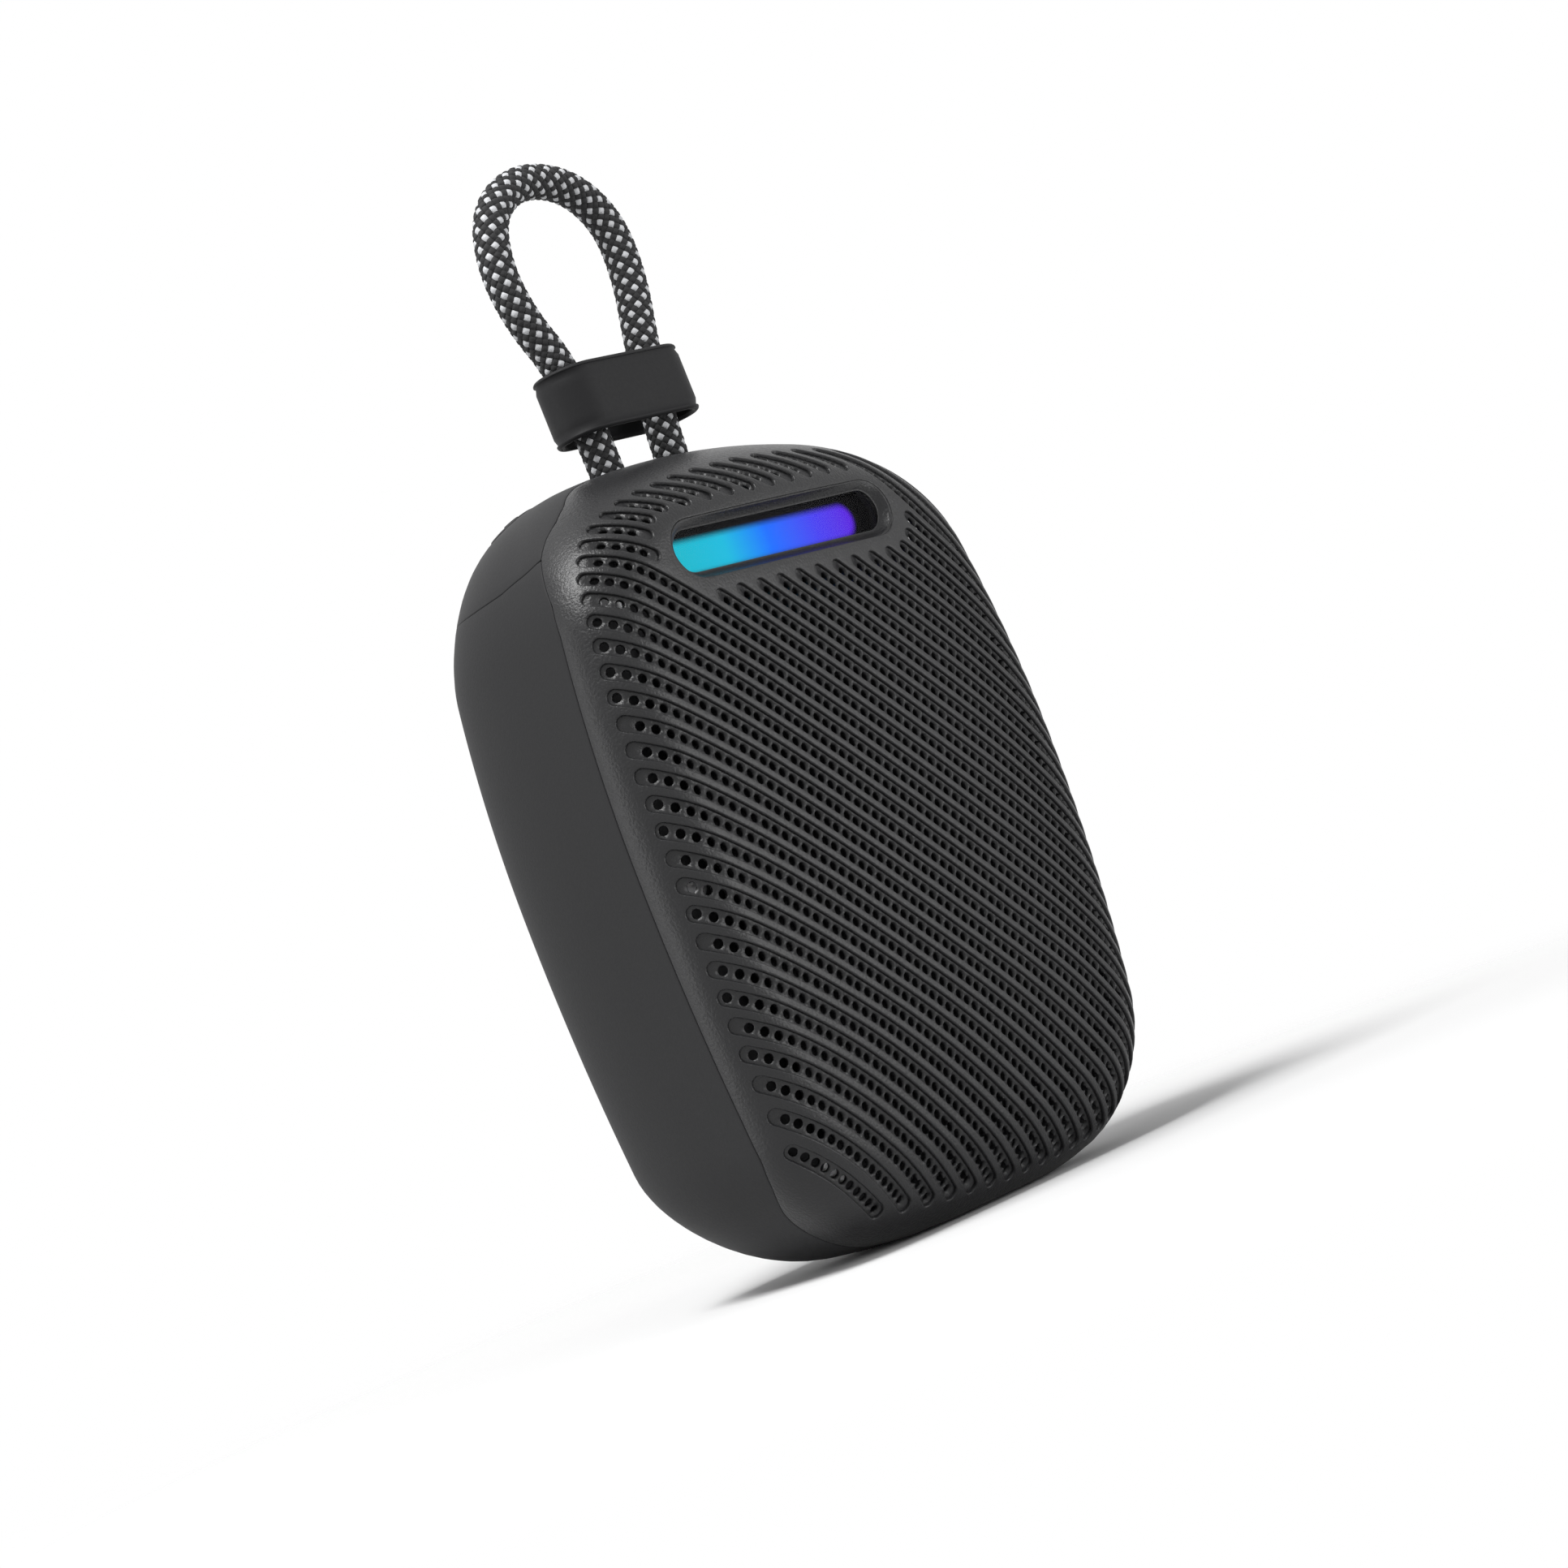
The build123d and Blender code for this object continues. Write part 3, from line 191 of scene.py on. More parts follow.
def side_point(s, y):
    """The surface at a share of the girth and a depth."""
    o, n = at(s), outward(s)
    width, deep = front_roll(n)
    first = np.zeros_like(width)
    for _ in range(6):
        c = o - n * first[..., None]
        q = np.clip(1 - (y - crown(c[..., 0], c[..., 1])) / deep, 0, 1)
        first = width * (1 - np.sqrt(np.maximum(1 - q * q, 0)))
    width, deep = rear_roll(n)
    q = np.clip(1 - (REAR - y) / deep, 0, 1)
    second = width * (1 - np.sqrt(np.maximum(1 - q * q, 0)))
    c = o - n * np.sqrt(first**2 + second**2)[..., None]
    return np.stack([c[..., 0], y + 0 * first, np.maximum(c[..., 1] + MID_Z, FLAT_Z)], -1)


SAMPLES = 2880
shares = np.arange(SAMPLES) / SAMPLES
outline_points = at(shares)
TURNS = np.linspace(math.pi / 2, 0, 61)


def foot(q):
    """The nearest outline point to a chart point, its share, inset and normal."""
    near = np.empty(len(q))
    coarse = outline_points[::4]
    for i in range(0, len(q), 8000):
        part = q[i : i + 8000]
        near[i : i + 8000] = ((part[:, None] - coarse[None]) ** 2).sum(2).argmin(1) * 4
    s = near / SAMPLES
    for _ in range(4):
        o, n = at(s), outward(s)
        along = np.stack([-n[:, 1], n[:, 0]], 1)
        s = s + 0.8 * ((q - o) * along).sum(1) / GIRTH
    o, n = at(s), outward(s)
    return np.mod(s, 1), ((o - q) * n).sum(1), o, n


def front_point(q):
    """The surface at a chart point: the front face flattened out over its rolled edge."""
    q = np.asarray(q, float)
    s, inset, o, n = foot(q)
    width, deep = front_roll(n)
    speed = np.sqrt((width[:, None] * np.sin(TURNS)) ** 2 + (deep[:, None] * np.cos(TURNS)) ** 2)
    strides = (speed[:, 1:] + speed[:, :-1]) / 2 * (TURNS[0] - TURNS[1])
    reach = np.concatenate([np.zeros((len(q), 1)), np.cumsum(strides, axis=1)], 1)
    past = width - inset
    kept = np.clip(past, 0, reach[:, -1])
    k = np.clip((reach <= kept[:, None]).sum(1) - 1, 0, len(TURNS) - 2)
    row = np.arange(len(q))
    f = (kept - reach[row, k]) / np.maximum(reach[row, k + 1] - reach[row, k], 1e-9)
    t = TURNS[k] + (TURNS[k + 1] - TURNS[k]) * f
    c = o - n * (width * (1 - np.cos(t)))[:, None]
    y = crown(c[:, 0], c[:, 1]) + deep * (1 - np.sin(t)) + np.maximum(past - reach[:, -1], 0)
    rolled = np.stack([c[:, 0], y, c[:, 1] + MID_Z], 1)
    flat = np.stack([q[:, 0], crown(q[:, 0], q[:, 1]), q[:, 1] + MID_Z], 1)
    rolled[past <= 0] = flat[past <= 0]
    rolled[:, 2] = np.maximum(rolled[:, 2], FLAT_Z)
    return rolled


def normals_of(surface, q, step=0.25):
    """Outward unit normals of a surface given as a function of chart points."""
    a = surface(q + [step, 0]) - surface(q - [step, 0])
    b = surface(q + [0, step]) - surface(q - [0, step])
    n = np.cross(a, b)
    return n / np.maximum(np.linalg.norm(n, axis=1, keepdims=True), 1e-12)


# ---------------------------------------------------------------- mesh helpers


def link(name, mesh, body, slot, smooth=True):
    piece = bpy.data.objects.new(name, mesh)
    bpy.context.scene.collection.objects.link(piece)
    if smooth:
        mesh.polygons.foreach_set("use_smooth", [True] * len(mesh.polygons))
    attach(piece, body)
    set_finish(piece, slot)
    return piece


def put(name, points, faces, body, slot, smooth=True):
    """A mesh piece from millimetre points."""
    mesh = bpy.data.meshes.new(name)
    mesh.from_pydata((np.asarray(points) * MM).tolist(), [], faces)
    mesh.validate()
    mesh.update()
    return link(name, mesh, body, slot, smooth)


class Builder:
    """Collects points and faces of one piece."""

    def __init__(self):
        self.points, self.faces, self.count = [], [], 0

    def add(self, points):
        points = np.asarray(points, float)
        first = self.count
        self.points.append(points)
        self.count += len(points)
        return list(range(first, self.count))

    def bridge(self, a, b, closed=True):
        n = len(a)
        for i in range(n if closed else n - 1):
            j = (i + 1) % n
            self.faces.append((a[i], a[j], b[j], b[i]))

    def done(self, name, body, slot):
        return put(name, np.concatenate(self.points), self.faces, body, slot)


def triangles(outer, holes, inner):
    """Triangles between an outer loop and holes, over extra inner points, and each loop's point numbers."""
    coords = [Vector(p) for p in outer]
    faces = [list(range(len(outer)))]
    for hole in holes:
        first = len(coords)
        coords += [Vector(p) for p in hole]
        faces.append(list(range(first, len(coords))))
    coords += [Vector(p) for p in inner]
    verts, _, tris, came_from, _, owners = geometry.delaunay_2d_cdt(coords, [], faces, 1, 1e-6)
    kept = [tuple(t) for t, owner in zip(tris, owners) if owner == [0]]
    place = {number: i for i, numbers in enumerate(came_from) for number in numbers}
    exact = np.array([tuple(v) for v in verts])
    given = np.concatenate([np.asarray(outer)] + [np.asarray(h) for h in holes])
    for number, point in enumerate(given):
        exact[place[number]] = point
    return exact, kept, [[place[i] for i in face] for face in faces]


def area(points):
    x, y = points[:, 0], points[:, 1]
    return 0.5 * float((x * np.roll(y, -1) - np.roll(x, -1) * y).sum())


def inside(q, loop_points):
    """Which of the points lie inside a closed polygon."""
    a = loop_points
    b = np.roll(a, -1, 0)
    x, y = q[:, 0:1], q[:, 1:2]
    crosses = (a[None, :, 1] > y) != (b[None, :, 1] > y)
    gap = np.where(np.abs(b[:, 1] - a[:, 1]) < 1e-12, 1e-12, b[:, 1] - a[:, 1])
    cut = a[None, :, 0] + (y - a[None, :, 1]) / gap[None] * (b[:, 0] - a[:, 0])[None]
    return ((crosses & (x < cut)).sum(1) % 2) == 1


def stadium(half_length, radius, count=18):
    """A round-ended bar's outline, anticlockwise."""
    a = np.linspace(-math.pi / 2, math.pi / 2, count)
    end = np.stack([half_length - radius + radius * np.cos(a), radius * np.sin(a)], 1)
    straight = max(2, int((half_length - radius) / 0.8))
    places = np.linspace(half_length - radius, radius - half_length, straight + 2)[1:-1]
    top = np.stack([places, np.full(straight, radius)], 1)
    return np.concatenate([end, top, -end, -top])


def circle(x, y, radius, count=24):
    a = np.arange(count) * 2 * math.pi / count
    return np.stack([x + radius * np.cos(a), y + radius * np.sin(a)], 1)


def rolled_edge(builder, ring, points, normals, outside, radius, depth, steps=4):
    """Rolls a closed edge over and down: outside is the in-surface direction away from the piece."""
    along = np.roll(points, -1, 0) - points
    forward = (np.cross(along, outside) * normals).sum() > 0
    last = ring
    for k in range(1, steps + 2):
        a = math.pi / 2 * min(k, steps) / steps
        drop = radius * (1 - math.cos(a)) if k <= steps else depth
        new = builder.add(points + outside * radius * math.sin(a) - normals * drop)
        builder.bridge(*((last, new) if forward else (new, last)))
        last = new
    return new


def edge_direction(points, normals, sign):
    along = np.roll(points, -1, 0) - np.roll(points, 1, 0)
    out = np.cross(along, normals) * sign
    return out / np.maximum(np.linalg.norm(out, axis=1, keepdims=True), 1e-12)


# ---------------------------------------------------------------- seams

SEAM_SETBACK = 0.3  # from the joint line to where each edge starts to roll over
# depth of the seam between the grille and the shells, by height of the outline beside it
SEAM = [
    (-1, -7.0), (3, -7.3), (8, -7.5), (10, -7.9), (14, -10), (18, -11.3), (24, -11.4), (94, -11.4),
    (98.5, -10.8), (102, -9.4), (106, -7.9), (108.5, -7.7), (111, -7.9), (113.3, -7.0), (115.9, -4.0),
    (117.6, -1.8), (118.1, -1.2),
]
seam_z, seam_y = np.array(SEAM, float).T


def seam_depth(s):
    return np.interp(at(s)[..., 1] + MID_Z, seam_z, seam_y)


def seam_chart(s):
    """The seam's line in the front chart."""
    o, n = at(s), outward(s)
    width, deep = front_roll(n)
    y = seam_depth(s)
    turn = np.full_like(width, 0.5)
    for _ in range(12):
        c = o - n * (width * (1 - np.cos(turn)))[..., None]
        q = np.clip(1 - (y - crown(c[..., 0], c[..., 1])) / deep, 0, 1)
        turn = np.arcsin(q)
    steps = np.linspace(0, 1, 41)
    t = math.pi / 2 + (turn[:, None] - math.pi / 2) * steps
    speed = np.sqrt((width[:, None] * np.sin(t)) ** 2 + (deep[:, None] * np.cos(t)) ** 2)
    reach = ((speed[:, 1:] + speed[:, :-1]) / 2).sum(1) * (math.pi / 2 - turn) / 40
    extra = np.maximum(y - (crown(o[..., 0], o[..., 1]) + deep), 0)
    return o + n * (reach + extra - width - SEAM_SETBACK)[:, None]


# ---------------------------------------------------------------- grille grooves

GROOVE_DEPTH = 0.5
HOLE_ROW = 1.2  # height between the rows of holes
HOLE_RADIUS, HOLE_SIDES, HOLE_DEPTH = 0.74, 10, 0.9
FLOOR_INSET = 0.06  # from the side of a groove to the edge of its floor, which holes may reach
LIP_WIDTH = 0.23  # outside the groove proper, on each side
GROOVE_STEP = 0.15  # between the points of a groove's centre line
SHORTEST_GROOVE = 4.0
# border of the groove tips in the front chart, anticlockwise from the right middle
BORDER = [
    (42.6, 0), (42.5, 12), (41.9, 22), (40.8, 30), (38.3, 38), (34.5, 43.8), (30, 47.7), (24.5, 50.8),
    (14, 51.8), (0, 52.2), (-14, 51.6), (-24, 50.1), (-31, 47.8), (-35.5, 44.3), (-38.8, 38.7),
    (-40.8, 30), (-41.9, 22), (-42.6, 12), (-42.8, 0), (-42.8, -15), (-42.4, -27), (-41.3, -36),
    (-40.2, -42.5), (-39.9, -45), (-28.6, -58.2), (-26.5, -57.2), (-20, -58.2), (-10, -59.4),
    (0, -60.1), (14, -60.3), (24, -59.8), (31, -58.4), (37, -53.5), (40.2, -45), (42, -33), (42.6, -15),
]
border = np.array(BORDER, float)


def phase(x, z):
    """Counts the grooves: a whole step from one to the next, down from the upper right."""
    left = np.maximum(-8 - x, 0)
    far = np.clip(x - 18, 0, 17)
    across = 0.25 * x + 0.09 * left**3 / 2700 + 0.065 * far**3 / 588
    across = across + np.maximum(x - 35, 0) * 0.096
    low = np.clip(-30 - z, 0, 21.25)
    climb = 0.2525 * z + 0.002 * low**2 + 0.085 * np.maximum(-51.25 - z, 0)
    near_top = np.maximum((z - 30) / 22, 0) ** 2
    return across + climb - 0.028 * (x + 20) * near_top


def slope(x, z, e=0.05):
    return (phase(x + e, z) - phase(x - e, z)) / (2 * e), (phase(x, z + e) - phase(x, z - e)) / (2 * e)


def groove_lines():
    """Centre lines of the grooves in the chart, each from its left end to its right end."""
    x = np.arange(-46, 46, 0.2)
    lines = []
    for number in range(-20, 22):
        level_wanted = number + 0.45
        low, high = np.full_like(x, -75.0), np.full_like(x, 75.0)
        for _ in range(40):
            middle = (low + high) / 2
            above = phase(x, middle) > level_wanted
            high = np.where(above, middle, high)
            low = np.where(above, low, middle)
        line = np.stack([x, (low + high) / 2], 1)
        run_length = np.concatenate([[0], np.cumsum(np.linalg.norm(np.diff(line, axis=0), axis=1))])
        even = np.arange(0, run_length[-1], GROOVE_STEP)
        line = np.stack([np.interp(even, run_length, line[:, 0]), np.interp(even, run_length, line[:, 1])], 1)
        good = inside(line, border)
        # keeps clear of the window and its plain rim
        off = np.hypot(np.maximum(np.abs(line[:, 0]) - 19.0, 0), line[:, 1] - WINDOW_CHART_Z)
        good &= off > WINDOW_CHART_HALF + 1.9
        start = None
        for i in range(len(line) + 1):
            if i < len(line) and good[i]:
                start = i if start is None else start
            elif start is not None:
                if (i - start) * GROOVE_STEP > SHORTEST_GROOVE:
                    lines.append(line[start:i])
                start = None
    return lines


def half_widths(line):
    gx, gz = slope(line[:, 0], line[:, 1])
    return np.clip(0.33 / np.hypot(gx, gz), 0.76, 1.16)


def groove_outline(line, half, trim):
    """A closed outline round a centre line, trim inside its full width, anticlockwise."""
    along = np.gradient(line, axis=0)
    along /= np.linalg.norm(along, axis=1, keepdims=True)
    beside = np.stack([-along[:, 1], along[:, 0]], 1)
    w = (half - trim)[:, None]
    a = np.linspace(0, math.pi, 9)[1:-1]
    head = line[-1] + (half[-1] - trim) * (np.cos(a)[:, None] * -beside[-1] + np.sin(a)[:, None] * along[-1])
    tail = line[0] + (half[0] - trim) * (np.cos(a)[:, None] * beside[0] - np.sin(a)[:, None] * along[0])
    return np.concatenate([line - beside * w, head, (line + beside * w)[::-1], tail])


# the window's outline seen from the front, and the same in the chart
WINDOW_Z, WINDOW_HALF, WINDOW_ROUND = 100.0, 23.0, 4.7
window_seen = stadium(WINDOW_HALF, WINDOW_ROUND) + [0, WINDOW_Z - MID_Z]
window_chart = window_seen.copy()
for _ in range(12):
    placed = front_point(window_chart)
    window_chart += window_seen - (placed[:, [0, 2]] - [0, MID_Z])
WINDOW_CHART_Z = float((window_chart[:, 1].max() + window_chart[:, 1].min()) / 2)
WINDOW_CHART_HALF = float((window_chart[:, 1].max() - window_chart[:, 1].min()) / 2)

grille = Builder()
seam_shares = np.arange(300) / 300
seam_line = seam_chart(seam_shares)
lines = groove_lines()
grooves = []
for line in lines:
    full = half_widths(line)
    # the rounded ends lie inside the border, and the sides are sampled about every 1.1 mm
    cut = max(2, int(full[0] / GROOVE_STEP)), max(2, int(full[-1] / GROOVE_STEP))
    line, full = line[cut[0] : -cut[1]], full[cut[0] : -cut[1]]
    if len(line) < 12:
        continue
    samples = max(4, int(len(line) * GROOVE_STEP / 1.1))
    picks = np.unique(np.linspace(0, len(line) - 1, samples).astype(int))
    grooves.append((line, full, line[picks], full[picks] + LIP_WIDTH))

rims = [groove_outline(coarse, wide, 0.0) for _, _, coarse, wide in grooves]
# extra points where the plain skin is wide
gx, gz = np.meshgrid(np.arange(-52, 53, 1.6), np.arange(-72, 73, 1.6))
extra = np.stack([gx.ravel(), gz.ravel()], 1) + 0.01
extra = extra[inside(extra, seam_line * 0.992)]
every_rim = np.concatenate(rims + [window_chart])
clear = np.array([((every_rim - p) ** 2).sum(1).min() > 0.75**2 for p in extra])
extra = extra[clear]
outer_holes = rims + [window_chart]
keep = np.ones(len(extra), bool)
for hole in outer_holes:
    lo, hi = hole.min(0) - 0.5, hole.max(0) + 0.5
    near = np.all((extra > lo) & (extra < hi), 1)
    keep[near] &= ~inside(extra[near], hole)
extra = extra[keep]
flat, tris, loop_ids = triangles(seam_line, outer_holes, extra)
skin = front_point(flat)
grille.add(skin)
grille.faces += tris

# the lip rolls in and down: distance in from the rim, and depth
PROFILE = [(0.10, 0.014), (0.18, 0.07), (0.24, 0.17), (0.27, 0.30), (0.29, GROOVE_DEPTH)]
hole_count = 0
for (fine, full, coarse, wide), last in zip(grooves, loop_ids[1:]):
    for trim, depth in PROFILE:
        q = groove_outline(coarse, wide, trim)
        ring = grille.add(front_point(q) - normals_of(front_point, q) * depth)
        grille.bridge(last, ring)
        last = ring
    floor_loop = q
    # round holes on common level rows
    rows = np.floor(fine[:, 1] / HOLE_ROW)
    steps = np.nonzero(np.diff(rows))[0]
    centres = fine[steps]
    radii = np.minimum(HOLE_RADIUS, full[steps] - FLOOR_INSET)
    holes = []
    for (cx, cz), radius in zip(centres, radii):
        holes.append(circle(cx, cz, radius, HOLE_SIDES))
    base, base_tris, base_loops = triangles(floor_loop, holes, [])
    floor = front_point(base) - normals_of(front_point, base) * GROOVE_DEPTH
    base_ids = grille.add(floor)
    grille.faces += [tuple(base_ids[i] for i in t) for t in base_tris]
    for hole, numbers in zip(holes, base_loops[1:]):
        ring = grille.add(front_point(hole) - normals_of(front_point, hole) * (GROOVE_DEPTH + HOLE_DEPTH))
        grille.bridge([base_ids[i] for i in numbers], ring)
        hole_count += 1

# the window's rim rolls in to a sloping bezel in front of the lens
rim_ids = loop_ids[-1]
rim_points = skin[rim_ids]
rim_normals = normals_of(front_point, window_chart)
inward = edge_direction(rim_points, rim_normals, -1)
if ((rim_points.mean(0) - rim_points) * inward).sum() < 0:
    inward = -inward
last = rim_ids
RIM_ROLL = 0.25
for k in range(1, 5):
    a = math.pi / 2 * k / 4
    drop = rim_normals * RIM_ROLL * (1 - math.cos(a))
    ring = grille.add(rim_points + inward * RIM_ROLL * math.sin(a) - drop)
    grille.bridge(last, ring)
    last = ring
for inset, depth in ((0.28, -20.4), (0.5, -19.9), (1.3, -18.8), (1.5, -18.72), (1.6, -18.68)):
    wall_points = rim_points + inward * inset
    wall_points[:, 1] = np.maximum(depth, wall_points[:, 1] + 0.1)
    ring = grille.add(wall_points)
    grille.bridge(last, ring)
    last = ring

# the outer edge turns in at the seam
seam_ids = loop_ids[0]
seam_points = skin[seam_ids]
seam_normals = normals_of(front_point, seam_line)
away = edge_direction(seam_points, seam_normals, 1)
if ((seam_points - [0, -20, MID_Z]) * away).sum() < 0:
    away = -away
SEAM_ROLL, EDGE_DEPTH = 0.22, 2.0
rolled_edge(grille, seam_ids, seam_points, seam_normals, away, SEAM_ROLL, EDGE_DEPTH)
front_grille = grille.done("grille_shell", "housing", "grille_plastic")
triangle_count = sum(len(f) - 2 for f in grille.faces)
print("grille", len(grooves), "grooves", hole_count, "holes", triangle_count, "triangles")
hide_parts("front_grille")

# ---------------------------------------------------------------- rear shell and top cover

SPAN = 34.0  # chart height of each of the two bands behind the seam
SPLIT_Z, SPLIT_FALL = 110.6, 3.4  # height of the cover's lower edge, and how far it falls to the back
SPLIT_GAP = 0.22  # from the split line to each of the two edges


def shell_depth(s, v):
    """Depth in the shells' chart, where v runs from the seam (-SPAN) to the back (SPAN).

    The rear edge starts to roll at v = 0.
    """
    o, n = at(s), outward(s)
    width, deep = rear_roll(n)
    start = seam_depth(s)
    ahead = (REAR - deep) + np.clip(-v / SPAN, 0, 1.2) * (start - (REAR - deep))
    behind = REAR - deep * (1 - np.sin(np.clip(v / SPAN, 0, 1) * math.pi / 2))
    return np.where(v <= 0, ahead, behind)


def shell_point(q):
    s = q[:, 0] / GIRTH
    return side_point(s, shell_depth(s, q[:, 1]))


def shell_normals(q):
    q = np.asarray(q, float)
    near_back = np.minimum(q[:, 1], SPAN - 0.6)
    return -normals_of(shell_point, np.stack([q[:, 0], near_back], 1))


def cover_split(v):
    """Share of the girth at which the right side crosses the cover's lower edge, by v."""
    back = (v + SPAN) / (2 * SPAN)
    wanted = SPLIT_Z - SPLIT_FALL * back**2
    low, high = np.full_like(v, 0.05), np.full_like(v, 0.22)
    for _ in range(30):
        middle = (low + high) / 2
        above = side_point(middle, shell_depth(middle, v))[:, 2] > wanted
        high = np.where(above, middle, high)
        low = np.where(above, low, middle)
    return (low + high) / 2


def strip_loop(lower_end, upper_end, gap):
    """The chart outline of a shell between two split lines, anticlockwise."""
    v = np.linspace(-SPAN + 0.45, SPAN, 34)
    a, b = lower_end(v) + gap / GIRTH, upper_end(v) - gap / GIRTH
    count = int((b[0] - a[0]) * GIRTH / 1.2)
    bottom = np.stack([np.linspace(a[0], b[0], count)[:-1], np.full(count - 1, v[0])], 1)
    count = int((b[-1] - a[-1]) * GIRTH / 1.2)
    top = np.stack([np.linspace(b[-1], a[-1], count)[:-1], np.full(count - 1, SPAN)], 1)
    loop_points = np.concatenate([bottom, np.stack([b, v], 1)[:-1], top, np.stack([a, v], 1)[::-1][:-1]])
    return loop_points * [GIRTH, 1]


def cover_chart(plan):
    """Chart points of the cover under plan points (x, y)."""
    plan = np.asarray(plan, float)
    s = 0.25 - plan[:, 0] / GIRTH
    for _ in range(20):
        s = s + 0.8 * (side_point(s, plan[:, 1])[:, 0] - plan[:, 0]) / GIRTH
    o, n = at(s), outward(s)
    _, deep = rear_roll(n)
    roll_start = REAR - deep
    behind = np.arcsin(np.clip(1 - (REAR - plan[:, 1]) / deep, 0, 1)) / (math.pi / 2) * SPAN
    ahead = -SPAN * (roll_start - plan[:, 1]) / (roll_start - seam_depth(s))
    return np.stack([s * GIRTH, np.where(plan[:, 1] > roll_start, behind, ahead)], 1)


def shell_piece(outline_loop, holes, hole_depths, corner=0.2):
    builder = Builder()
    ends = outline_loop[:, 0].min(), outline_loop[:, 0].max()
    gx, gz = np.meshgrid(np.arange(*ends, 1.7), np.arange(-SPAN, SPAN, 2.1))
    extra = np.stack([gx.ravel(), gz.ravel()], 1) + [0.31, 0.27]
    extra = extra[inside(extra, outline_loop)]
    everything = np.concatenate([outline_loop] + holes)
    extra = extra[np.array([((everything - p) ** 2).sum(1).min() > 0.8**2 for p in extra])]
    for hole in holes:
        extra = extra[~inside(extra, hole)]
    flat, tris, loops = triangles(outline_loop, holes, extra)
    points = shell_point(flat)
    builder.add(points)
    # the chart's sense is mirrored against the surface, so the faces turn over
    builder.faces += [t[::-1] for t in tris]
    for chart_loop, depth, ids in zip([outline_loop] + holes, [EDGE_DEPTH] + hole_depths, loops):
        edge = points[ids]
        normals = shell_normals(chart_loop)
        away = edge_direction(edge, normals, 1)
        # points away from the piece: a small step lands outside the outline, or inside the hole
        beside = (np.roll(chart_loop, -1, 0) - np.roll(chart_loop, 1, 0))[:, ::-1] * [0.05, -0.05]
        hint = shell_point(chart_loop + beside) - edge
        if (hint * away).sum() < 0:
            away = -away
        if chart_loop is not outline_loop:
            away = -away
        rolled_edge(builder, ids, edge, normals, away, corner, depth)
    return builder


def left_split(v):
    return 0.5 - cover_split(v)


def next_right_split(v):
    """The right side again, one girth further round."""
    return 1 + cover_split(v)


KEY_HALF, KEY_ROUND = 4.3, 3.2
KEY_GAP, ROPE_GAP = 0.2, 0.35
HOLE_LIP = 0.25  # room for a hole's rolled lip
KEY_HOLE_DEPTH, ROPE_HOLE_DEPTH = 1.4, 5.0
cover_loop = strip_loop(cover_split, left_split, SPLIT_GAP)
BUTTONS = [(-21.0, "power"), (-10.5, "pairing"), (0.0, "play"), (10.5, "minus"), (21.0, "plus")]
BUTTON_Y = 10.3
rope_hole = ROPE_RADIUS + ROPE_GAP + HOLE_LIP
rope_holes = [cover_chart(circle(x, ROPE_Y, rope_hole, 32)) for x in (-LEG_X, LEG_X)]
button_seen = stadium(KEY_HALF + KEY_GAP + HOLE_LIP, KEY_ROUND + KEY_GAP + HOLE_LIP, 14)
button_holes = [cover_chart(button_seen + [x, BUTTON_Y]) for x, _ in BUTTONS]
cover_holes = [h if area(h) > 0 else h[::-1] for h in rope_holes + button_holes]
hole_depths = [ROPE_HOLE_DEPTH] * len(rope_holes) + [KEY_HOLE_DEPTH] * len(button_holes)
cover = shell_piece(cover_loop, cover_holes, hole_depths)
cover_piece = cover.done("cover_shell", "housing", "soft_cover")
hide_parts("top_cover")

shell_loop = strip_loop(left_split, next_right_split, SPLIT_GAP)
shell = shell_piece(shell_loop, [], [])
shell.done("rear_skin", "housing", "soft_shell")

# ---------------------------------------------------------------- back face

back_ring = side_point(np.arange(260) / 260, np.full(260, REAR))[:, [0, 2]]
if area(back_ring) < 0:
    back_ring = back_ring[::-1]
PORT_Z = 47.0
BACK_ROLL = 0.15
flap_gap = 0.25
half_flap, flap_round = 9.5 + flap_gap, 5.0 + flap_gap
cap_left = []
for t in np.linspace(math.pi * 1.08, math.pi / 2, 16):
    x = -(half_flap - flap_round) + flap_round * math.cos(t)
    cap_left.append((x, PORT_Z + flap_round * math.sin(t)))
cap_right = [(-x, z) for x, z in cap_left[::-1]]
tongue_top, tongue_low = 43.5, 39.9
tongue = [(4.6, tongue_top), (4.4, tongue_top - 0.3), (4.4, tongue_low + 0.4), (4.0, tongue_low)]
port_outline = np.array(cap_left + cap_right + tongue + [(-x, z) for x, z in tongue[::-1]])
if area(port_outline) < 0:
    port_outline = port_outline[::-1]
light_hole = circle(-15.0, PORT_Z, 0.95, 20)
sound_hole = circle(15.0, PORT_Z, 0.6, 20)
gx, gz = np.meshgrid(np.arange(-40, 40, 2.5), np.arange(10, 110, 2.5))
extra = np.stack([gx.ravel(), gz.ravel()], 1)
extra = extra[inside(extra, back_ring)]
for hole in (port_outline, light_hole, sound_hole):
    extra = extra[~inside(extra, hole)]
everything = np.concatenate([back_ring, port_outline, light_hole, sound_hole])
extra = extra[np.array([((everything - p) ** 2).sum(1).min() > 1.0 for p in extra])]
flat, tris, loops = triangles(back_ring, [port_outline, light_hole, sound_hole], extra)
rear = Builder()
rear_points = np.stack([flat[:, 0], np.full(len(flat), REAR), flat[:, 1]], 1)
rear.add(rear_points)
rear.faces += [t[::-1] for t in tris]
back_holes = ((port_outline, 1.4, loops[1]), (light_hole, 3.0, loops[2]), (sound_hole, 3.0, loops[3]))
